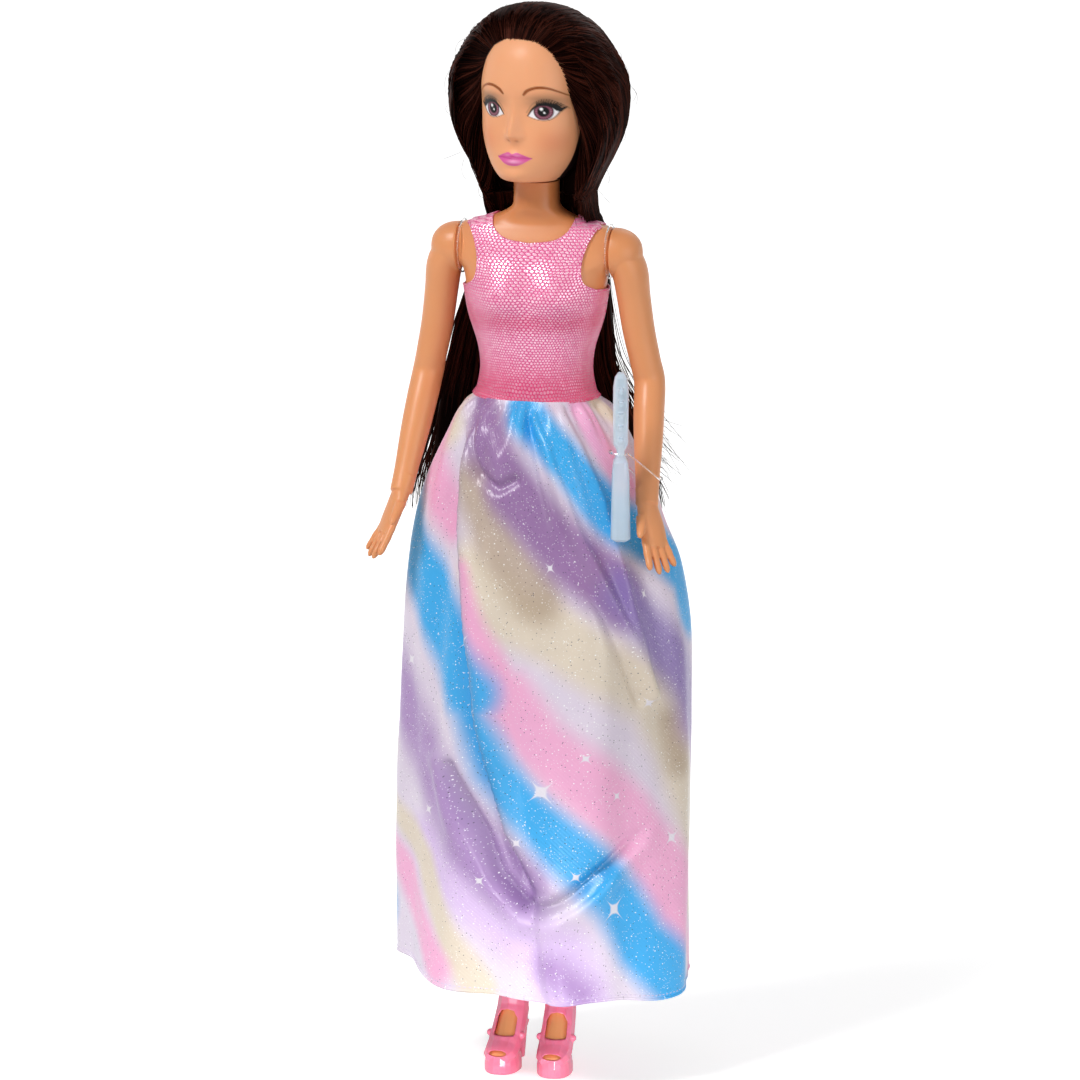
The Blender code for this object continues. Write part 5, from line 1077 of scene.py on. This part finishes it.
def make_skirt_half(side, sign, look, thread):
    """Half of the skirt, with its turned hem and the stitches that hold it."""
    half_round = sign * 180 * MM_A_DEGREE
    heights = {}

    def at_turn(u, share):
        return skirt_surface(-math.pi / 2 + sign * math.pi * u, share)

    def place(u, v):
        x, y, z, _, t = at_turn(u, 1 - v)
        heights["up"] = t
        heights["round"] = half_round * u
        return x, y, z

    half = shaped_grid(f"skirt_{side}_half", 150, 220, place, joined=False)
    printed(half.data, heights["round"], heights["up"])
    with edited(half) as body:
        middle = Vector((SKIRT_SIZES[3], 0, 0))
        if sum(f.normal.dot(f.calc_center_median() - middle) * f.calc_area() for f in body.faces) < 0:
            bmesh.ops.reverse_faces(body, faces=body.faces)
    apply_modifier(half, "SOLIDIFY", thickness=SATIN_THICKNESS, offset=0.0, use_rim=True)
    rounded(half, 75)
    swings(half)
    dressed(half, look, None, "printed_satin", "skirt")

    def raised(u, share, out):
        x, y, z, _, _ = at_turn(u, np.full(len(u), share))
        grow = 1 + out / np.hypot(x, y)
        return np.column_stack([x * grow, y * grow, z])

    # The hem is turned up once and stitched 1.4 mm above its fold, with stitches 1.3 mm long.
    turned = np.linspace(0, 1, HEM_STEPS)
    roll = strands_mesh(f"skirt_{side}_hem_fold", [raised(turned, 0.997, 0.00012)], [HEM_FOLD_RADIUS], 8)
    s = half_round * np.repeat(turned, len(roll.data.vertices) // HEM_STEPS)
    printed(roll.data, s, np.full_like(s, 29.0))
    swings(roll)
    dressed(roll, look, None, "printed_satin")
    spans = [(k + np.array([0.10, 0.35, 0.60, 0.85])) / STITCHES * 0.998 + 0.001 for k in range(STITCHES)]
    stitches = [raised(u, 0.9905, np.array([0.00006, 0.00020, 0.00020, 0.00006])) for u in spans]
    line = strands_mesh(f"skirt_{side}_hem_stitches", stitches, [STITCH_RADIUS] * STITCHES, 5)
    s = half_round * np.repeat([u.mean() for u in spans], len(line.data.vertices) // STITCHES)
    write_places(line.data, "cloth_mm", s, np.full_like(s, 29.5), np.zeros_like(s))
    swings(line)
    dressed(line, thread, None, "printed_satin")
    return half


# Hair


def doll_hair(name, streaks, dark, light):
    """Rooted polymer fibre: near black, with a red-brown glint where the light runs along the strands."""
    look, shader, add = new_finish(name, "#1A0D0B", 0.34, IOR=1.54, Specular_IOR_Level=0.03, Sheen_Weight=0.35,
                                   Sheen_Roughness=0.35, Specular_Tint="#E09A84", Sheen_Tint="#6E3A2C")
    place = add("TexCoord", out="Object")
    if streaks:
        tone = add("Attribute", out="Fac", attribute_name="strand_tone", attribute_type="GEOMETRY")
    else:
        tone = add("TexNoise", {"Vector": place, "Scale": 900.0})
    lock = add("TexNoise", {"Vector": place, "Scale": 160.0, "Detail": 2.0})
    # Fibres are 0.08 mm; the relief between locks is drawn at about 0.4 mm.
    fine = add("TexNoise", {"Vector": place, "Scale": 2600.0, "Detail": 1.0})
    feed(shader, {"Base Color": laid_over(add, dark, ((tone, 1.0, light), (lock, 0.6, "#0C0404"))),
                  "Roughness": add("Math", (lock, 0.22, 0.26), operation="MULTIPLY_ADD"),
                  "Normal": add("Bump", {"Height": fine, "Strength": 0.15, "Distance": 0.0001})})
    return look


def along_directions(points, count):
    """Unit directions along a smooth path through a few."""
    rows = np.column_stack([np.linspace(0, 1, len(points)), points])
    found = np.column_stack(sized(rows, (1,) * 3, np.linspace(0, 1, count)))
    return found / np.linalg.norm(found, axis=1)[:, None]


def hair_shell(name, out=0.0):
    """The outside of the combed hair as a closed loft, before the face is cut away."""
    angle = np.linspace(0, 2 * math.pi, 96, endpoint=False)
    rings = []
    for at in np.sin(math.pi / 2 * np.linspace(0, 1, 60)):
        x, y = egg(angle, *[size + out for size in sized(HAIR_SHARES, HAIR_SIZES, at)])
        # The comb leaves shallow furrows.
        furrow = 0.00035 * np.cos(23 * angle + 3 * at) * bump(at - 0.55, 0.5)
        size = 1 + furrow / np.maximum(np.hypot(x, y), 0.004)
        height = HAIR_SPLIT + at * (HAIR_TOP - HAIR_SPLIT)
        rings.append(np.stack([x * size, y * size, np.full_like(x, height)], axis=-1))
    return lofted(name, np.array(rings))


def head_shell(name, out):
    """The plain skull under the hair, a little proud of the painted head."""
    angle = np.linspace(0, 2 * math.pi, 64, endpoint=False)
    rings = []
    for at in np.linspace(0.0, 1.0, 40):
        x, y = egg(angle, *[size + out for size in sized(HEAD_SHARES, HEAD_SIZES, at)], HEAD_POWER)
        rings.append(np.stack([x, y, np.full_like(x, HEAD_BOTTOM - out + at * (HEAD_HEIGHT + 2 * out))], axis=-1))
    return lofted(name, np.array(rings))


def tree_of(piece):
    mesh = piece.data
    return BVHTree.FromPolygons([v.co[:] for v in mesh.vertices], [p.vertices[:] for p in mesh.polygons])


# The hairline from the middle of the forehead down one side: mm across and metres up
HAIRLINE = np.array([(0, 0.0, 0.2893), (0.18, 4.6, 0.2890), (0.36, 8.8, 0.2868), (0.50, 11.4, 0.2832),
                     (0.62, 13.0, 0.2788), (0.74, 14.1, 0.2735), (0.86, 14.8, 0.2660), (1.0, 14.6, 0.2585)])
# The room of the face in the hair, seen from the side: metres back and up
FACE_ROOM = [(-0.030, 0.236), (0.0040, 0.236), (0.0042, 0.262), (0.0030, 0.2750), (0.0006, 0.2845),
             (-0.0016, 0.2920), (-0.0060, 0.2975), (-0.030, 0.3000)]
HAIR_MIDDLE = Vector((0, 0.0005, 0.2680))
CROWN_STRANDS, CROWN_FLYAWAYS, ROUTE_STEPS = 3900, 60, 24


def make_hair_base(look):
    """The dark ground of the combed hair, cut away round the face, the head and the neck."""
    base = hair_shell("combed_back_hair_base", -0.0008)
    n = len(FACE_ROOM)
    face = faced("face_room", [(x, y, z) for x in (-0.04, 0.04) for y, z in FACE_ROOM],
                 [tuple(range(n)), tuple(range(2 * n - 1, n - 1, -1))]
                 + [(k, k + n, (k + 1) % n + n, (k + 1) % n) for k in range(n)])
    outward(face)
    room = head_shell("head_room", 0.0002)
    bpy.ops.mesh.primitive_cylinder_add(vertices=48, radius=0.0074, depth=0.014, location=(0, 0, 0.2465))
    for tool in (room, face, bpy.context.object):
        cut_away(base, tool)
    pressed(base, CROWN_VOXEL, 3).data.transform(Matrix.Rotation(HEAD_TURN, 4, "Z"))
    rounded(outward(base))
    dressed(base, look, "head", "doll_hair", "hair_crown")


def make_hair_crown(base_look, strand_look):
    """Hair combed back off the face: a dark base, and strands from each root over the sides to the nape."""
    shell, skull = hair_shell("hair_outside"), head_shell("skull", 0.0001)
    outer, inner = tree_of(shell), tree_of(skull)
    make_hair_base(base_look)
    rng = np.random.default_rng(7)

    def reach(tree, d):
        spot = tree.ray_cast(HAIR_MIDDLE + d * 0.06, -d, 0.06)[0]
        return None if spot is None else (spot - HAIR_MIDDLE).length

    sets = {"right": ([], [], []), "left": ([], [], []), "back": ([], [], [])}
    for _ in range(CROWN_STRANDS):
        rooted = rng.uniform() < 0.55
        side = -1 if rng.uniform() < 0.5 else 1
        h = rng.uniform(0, 1)
        x, z = sized(HAIRLINE, (0.001, 1), h)
        half, front = sized(HEAD_SHARES, HEAD_SIZES[:2], (z - HEAD_BOTTOM) / HEAD_HEIGHT)
        y = -front * max(1 - min(x / half, 1) ** HEAD_POWER, 0) ** (1 / HEAD_POWER)
        root = Vector((side * x, y + rng.uniform(-0.0003, 0.0009), z)) - HAIR_MIDDLE
        # Strands rooted near the parting run straight back; those from the temple fall close to the cheek.
        last = math.radians(-10 + 100 * (1 - h) ** 2.2 + rng.normal(0, 4))
        out, back = side * math.cos(last), math.sin(last)
        end = Vector((0.0180 * out, 0.0165 * back, -0.0235))
        crest = root.normalized() * 0.40 + Vector((0.9 * out, 0.9 * back, 0)) * 0.55
        crest += Vector((0, 0.10 * (1 - h), 0.66 * (1 - h) ** 1.3 - 0.95 * h ** 1.2))
        flank = Vector((out, 0.95 * back, -0.35 - 1.05 * h ** 1.5))
        if not rooted:
            # Strands that come from the scalp further back lie under and between them.
            root = root.lerp(crest * 0.02, rng.uniform(0.1, 1.0))
        points = np.array([tuple(p.normalized()) for p in (root, crest, flank, end)])
        lift, wave = rng.uniform(-0.0004, 0.0003), rng.uniform(0, 6.28)
        # Near the face the hair stands off the temple only slowly; over the top it is at its full height at once.
        slow = 0.13 + 0.42 * float(ease(h, 0.35, 0.80))
        drift = rng.normal(0, 0.010, 3)
        path = []
        for i, d in enumerate(along_directions(points, ROUTE_STEPS)):
            share = i / (ROUTE_STEPS - 1)
            d = Vector(d + drift * math.sin(2.6 * share + wave)).normalized()
            far, near = reach(outer, d), reach(inner, d)
            if far is None:
                break
            rise = ease(share, 0.0, slow) if rooted else 1.0
            near = near if near is not None else far - 0.002
            r = near + (far + lift - near) * float(rise)
            path.append(np.array(HAIR_MIDDLE + d * (r - (0.00045 if rooted and i == 0 else 0))))
        if len(path) < 8:
            continue
        # Below the shell each strand narrows in to the shoulders.
        tail = rng.uniform(0.0030, 0.0080)
        foot = path[-1]
        for step in (0.4, 1.0):
            inward = 1 - 0.085 * step * (0.6 + rng.uniform(0, 0.5))
            path.append(np.array([foot[0] * inward, foot[1] * inward + 0.55 * tail * step, foot[2] - tail * step]))
        paths, radii, tones = sets["back" if back > 0.80 else ("left" if side > 0 else "right")]
        paths.append(turned_head(*np.array(path).T))
        radii.append(rng.uniform(0.00012, 0.00022))
        tones.append(rng.uniform(0, 1) ** 2.2)
    paths, radii, tones = sets["back"]
    for _ in range(CROWN_FLYAWAYS):
        # Short flyaways lift off the outline.
        d = Vector((rng.uniform(-1, 1), rng.uniform(-0.3, 0.9), rng.uniform(-0.8, 0.9))).normalized()
        far = reach(outer, d)
        if far is None:
            continue
        lean = (Vector((0, 0, -1)) + Vector(rng.normal(0, 0.5, 3))).normalized()
        length = rng.uniform(0.004, 0.009)
        start = HAIR_MIDDLE + d * far
        path = np.array([start + lean * (length * t) + d * (0.0008 + 0.0015 * math.sin(math.pi * t))
                         for t in np.linspace(0, 1, 8)])
        paths.append(turned_head(*path.T))
        radii.append(0.00005)
        tones.append(0.3)
    for tool in (shell, skull):
        bpy.data.objects.remove(tool, do_unlink=True)
    for group, (paths, radii, tones) in sets.items():
        strands = strands_mesh(f"combed_strands_{group}", paths, radii, 3, tones)
        dressed(strands, strand_look, "head", "doll_hair", "hair_crown")


FALL_STRANDS, FALL_FLYAWAYS = 1500, 130


def make_hair_fall(base_look, strand_look):
    """The long back hair: a full base and strands that hang over it, flaring and fraying at the ends."""
    base = refined("hair_fall", "long_back_hair_base", FALL_VOXEL, 14)
    rng = np.random.default_rng(11)
    top = HAIR_SPLIT - CLEARANCE
    # The base ends in ragged locks above the strands' own ends.
    places = read_points(base.data)
    low = ease((top - places[:, 2]) / (top - FALL_END), 0.80, 1.0)
    locks = 0.55 + 0.25 * np.sin(places[:, 0] * 900 + 1.0) + 0.20 * np.sin(places[:, 0] * 2100)
    places[:, 2] += low * 0.013 * locks
    write_points(base.data, places)
    paths, radii, tones = [], [], []
    for _ in range(FALL_STRANDS):
        u = rng.uniform(-1, 1)
        front = rng.uniform() < 0.30
        wave, size = rng.uniform(0, 6.28), rng.uniform(0.0002, 0.0009)
        share = np.linspace(0, 1, 26) * (rng.uniform(0.88, 1.09) - 0.05 * abs(math.sin(4.3 * u + 0.6)))
        wide, side, centre, shift = sized(FALL_SHARES, FALL_SIZES, np.clip(share, 0, 1))
        y = side + (centre - side) * (1 - abs(u) ** 2.2)
        if front:
            y = y - 0.00015
        else:
            y = y + FALL_THICKNESS * (0.45 + 0.55 * math.sqrt(1 - u * u)) + rng.uniform(-0.0002, 0.0004)
        flare = ease(share, 0.55, 1.05) * (0.0065 * u * abs(u) ** 1.5)
        flare = flare + ease(share, 0.8, 1.05) * rng.normal(0, 0.0012)
        free = ease(share, 0.1, 0.5)
        x = -shift + u * wide * 1.02 + flare + size * np.sin(share * 9 + wave) * free
        y = y + 0.5 * size * np.cos(share * 7 + wave) * free
        paths.append(np.column_stack([x, y, top - share * (top - FALL_END)]))
        radii.append(rng.uniform(0.00010, 0.00022))
        tones.append(rng.uniform(0, 1) ** 1.6)
    for _ in range(FALL_FLYAWAYS):
        # Flyaways at both sides, longest at the doll's left, where the hair kicks out behind the hand.
        sign = -1 if rng.uniform() < 0.4 else 1
        lead = rng.uniform(0.80, 1.02)
        reach = rng.uniform(0.002, 0.015 if sign > 0 else 0.005)
        stop_at = rng.uniform(0.80, 1.02)
        share = np.linspace(rng.uniform(0.05, 0.5), stop_at, 22)
        wide, side, _, shift = sized(FALL_SHARES, FALL_SIZES, np.clip(share, 0, 1))
        spread = ((share - share[0]) / (share[-1] - share[0])) ** rng.uniform(1.6, 4.0)
        x = -shift + sign * (lead * wide + reach * spread)
        x = x + 0.0006 * np.sin(9 * share + rng.uniform(0, 6.28)) * spread
        y = side + rng.uniform(0.0, 0.003) + 0.002 * spread
        paths.append(np.column_stack([x, y, top - share * (top - FALL_END) + 0.5 * reach * spread]))
        radii.append(rng.uniform(0.00006, 0.00012))
        tones.append(rng.uniform(0.1, 0.6))
    dressed(base, base_look, "torso", "doll_hair", "hair_fall")
    strands = strands_mesh("long_back_strands", paths, radii, 4, tones)
    dressed(strands, strand_look, "torso", "doll_hair", "hair_fall")


# Small parts


def comb_plastic():
    """Clear polystyrene, tinted cool blue: glossy, and light passes through it and gathers at its edges."""
    look, shader, add = new_finish("clear_blue_polystyrene", "#E2F3FE", 0.18, IOR=1.45, Transmission_Weight=0.45)
    flow = add("TexNoise", {"Vector": add("TexCoord", out="Object"), "Scale": 220.0, "Detail": 2.0})
    feed(shader, {"Base Color": laid_over(add, "#D6ECFC", [(flow, 1.0, "#EEF8FF")]),
                  "Normal": add("Bump", {"Height": flow, "Strength": 0.12, "Distance": 0.0001})})
    return look


def clear_tie():
    """Extruded nylon filament: almost clear, seen by its bright edges."""
    look, shader, add = new_finish("clear_nylon_filament", "#FFFFFF", 0.08, IOR=1.45, Transmission_Weight=1.0)
    drawn = add("TexNoise", {"Vector": add("TexCoord", out="Object"), "Scale": 1500.0, "Detail": 1.0})
    feed(shader, {"Normal": add("Bump", {"Height": drawn, "Strength": 0.08, "Distance": 0.00005})})
    return look


def fastening_tape(name, light, dark):
    """Woven polyester tape with a brushed nap: matt, fuzzy, a little uneven."""
    look, shader, add = new_finish(name, light, 0.85, Sheen_Weight=0.5, Sheen_Roughness=0.6)
    place = add("TexCoord", out="Object")
    nap = add("TexNoise", {"Vector": place, "Scale": 2200.0, "Detail": 3.0})
    loops = add("TexVoronoi", {"Vector": place, "Scale": 1500.0}, "Distance", feature="F1")
    height = add("Math", (nap, loops), operation="ADD")
    feed(shader, {"Base Color": laid_over(add, dark, [(nap, 1.0, light)]),
                  "Normal": add("Bump", {"Height": height, "Strength": 0.7, "Distance": 0.00015})})
    return look


def sewing_thread():
    """Pale lilac polyester thread, two-ply, laid in short running stitches."""
    look, shader, add = new_finish("lilac_polyester_thread", "#D9C6E6", 0.55, Sheen_Weight=0.3)
    ply = add("TexNoise", {"Vector": add("TexCoord", out="Object"), "Scale": 3000.0, "Detail": 1.0})
    feed(shader, {"Base Color": laid_over(add, "#B9A4CC", [(ply, 1.0, "#EADDF2")]),
                  "Normal": add("Bump", {"Height": ply, "Strength": 0.3, "Distance": 0.00005})})
    return look


def finish_node(node, look):
    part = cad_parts[node]
    part.data.materials.clear()
    part.data.materials.append(look)


# Studio


def seen_directly(add):
    """1 for the rays that see the backdrop itself, in a mirror or through a clear piece, and 0 for the rest."""
    rays = add("LightPath").node.outputs
    mirrored = add("Math", (rays["Is Glossy Ray"], rays["Is Transmission Ray"]), operation="MAXIMUM")
    return add("Math", (rays["Is Camera Ray"], mirrored), operation="MAXIMUM")


def make_stage():
    bpy.ops.mesh.primitive_plane_add(size=6, location=(0, 0, 0))
    floor = bpy.context.object
    floor.name = "studio_floor"
    look, shader, add = new_finish("white_studio_paper", "#EDEDED", 0.9)
    # The paper glows a little less under the doll, so that her shadow shows.
    away = add("VectorMath", (add("TexCoord", out="Object"),), "Value", operation="LENGTH")
    level = add("MapRange", (away, 0.06, 0.45, 0.57, 0.72))
    glow, none = add("Emission", {"Strength": level}), add("Emission", {"Strength": 0.0})
    lit = add("AddShader", (shader.outputs[0], add("MixShader", (seen_directly(add), none, glow))))
    feed(look.node_tree.nodes["Material Output"], {"Surface": lit})
    floor.data.materials.append(look)


# Lamps: where each stands, its size in metres (a spot has none), its power in watts and the height it aims at
LAMPS = {"key_softbox": ((-0.85, -1.15, 1.75), 0.6, 27.0, 0.15),
         "fill_softbox": ((1.4, -1.0, 0.5), 1.0, 7.0, 0.15),
         "rim_softbox": ((0.3, 1.4, 1.4), 0.8, 2.5, 0.15),
         "shoe_spot": ((0.22, -0.88, 0.08), None, 24.0, 0.0)}


def aimed(thing, place, target):
    thing.location = place
    thing.rotation_euler = (Vector(target) - Vector(place)).to_track_quat("-Z", "Y").to_euler()


def make_lights():
    world = bpy.data.worlds.new("pale_studio")
    bpy.context.scene.world = world
    world.use_nodes = True
    world.node_tree.nodes.clear()
    add = partial(add_node, world.node_tree)
    soft, white = (add("Background", {"Color": "#FFFFFF", "Strength": level}) for level in (0.30, 1.0))
    ends = world.node_tree.nodes.new("ShaderNodeOutputWorld")
    feed(ends, {"Surface": add("MixShader", (seen_directly(add), soft, white))})
    for name, (place, size, power, height) in LAMPS.items():
        lamp = bpy.data.lights.new(name, "AREA" if size else "SPOT")
        lamp.energy = power
        if size:
            lamp.size = size
        else:
            lamp.spot_size, lamp.spot_blend, lamp.shadow_soft_size = math.radians(10), 1.0, 0.05
        aimed(linked(name, lamp), place, (0, 0, height))


# The photograph's camera: its turn, its distance and height in metres, its focal length and the picture's width
# in pixels
CAMERA_TURN, CAMERA_AWAY, CAMERA_HEIGHT = math.radians(14), 1.84, 0.565
FOCAL_PIXELS, PICTURE_PIXELS, SENSOR_MM = 6863, 1080, 36


def make_camera():
    """From 14 degrees to the doll's left and 12.8 degrees above, at the photograph's distance."""
    lens = bpy.data.cameras.new("photograph_view")
    lens.sensor_width = SENSOR_MM
    lens.lens = FOCAL_PIXELS * SENSOR_MM / PICTURE_PIXELS
    lens.clip_end = 20
    camera = linked("photograph_view", lens)
    place = (math.sin(CAMERA_TURN) * CAMERA_AWAY, -math.cos(CAMERA_TURN) * CAMERA_AWAY, CAMERA_HEIGHT)
    aimed(camera, place, (0.0009, 0, 0.1496))
    bpy.context.scene.camera = camera


def main():
    bpy.context.scene.view_settings.view_transform = "Standard"
    make_camera()
    make_lights()
    make_stage()
    skin, vinyl, shoe = plastic_skin(), painted_vinyl(), shoe_vinyl()
    make_head(vinyl)
    make_torso(skin)
    for sign in (-1, 1):
        make_arm(sign, skin)
    make_legs_and_shoes(skin, shoe)
    finish_node("neck_knob", skin)
    knit = foil_dot_knit()
    for name, neck, behind, sides, width, node in (
            ("top_front", NECKLINE_HEIGHT, False, "both", 0.058, "bodice_front"),
            ("top_back_right", BACK_NECKLINE_HEIGHT, True, "right", 0.029, "bodice_back_right"),
            ("top_back_left", BACK_NECKLINE_HEIGHT, True, "left", 0.029, "bodice_back_left")):
        panel = make_panel(name, neck, behind, sides, knit, node)
    finish_node("back_closure", fastening_tape("white_hook_tape", "#F0EDEE", "#D6D2D4"))
    finish_node("waist_tape", fastening_tape("pink_waist_tape", "#F0A6C4", "#D97BA4"))
    print_look, thread = satin_print(), sewing_thread()
    for side, sign in (("right", -1), ("left", 1)):
        half = make_skirt_half(side, sign, print_look, thread)
    base_hair = doll_hair("rooted_hair_base", False, "#040101", "#180A08")
    strand_hair = doll_hair("rooted_hair_strands", True, "#060202", "#5C2D22")
    make_hair_crown(base_hair, strand_hair)
    make_hair_fall(base_hair, strand_hair)
    comb = refined("comb", "toy_comb", COMB_VOXEL, 3, 0.4)
    dressed(comb, comb_plastic(), "left_arm", "clear_blue_plastic", "comb")
    clear = clear_tie()
    for node in ("wrist_tie", "right_shoulder_tie", "left_shoulder_tie"):
        finish_node(node, clear)
    bpy.context.view_layer.update()


main()
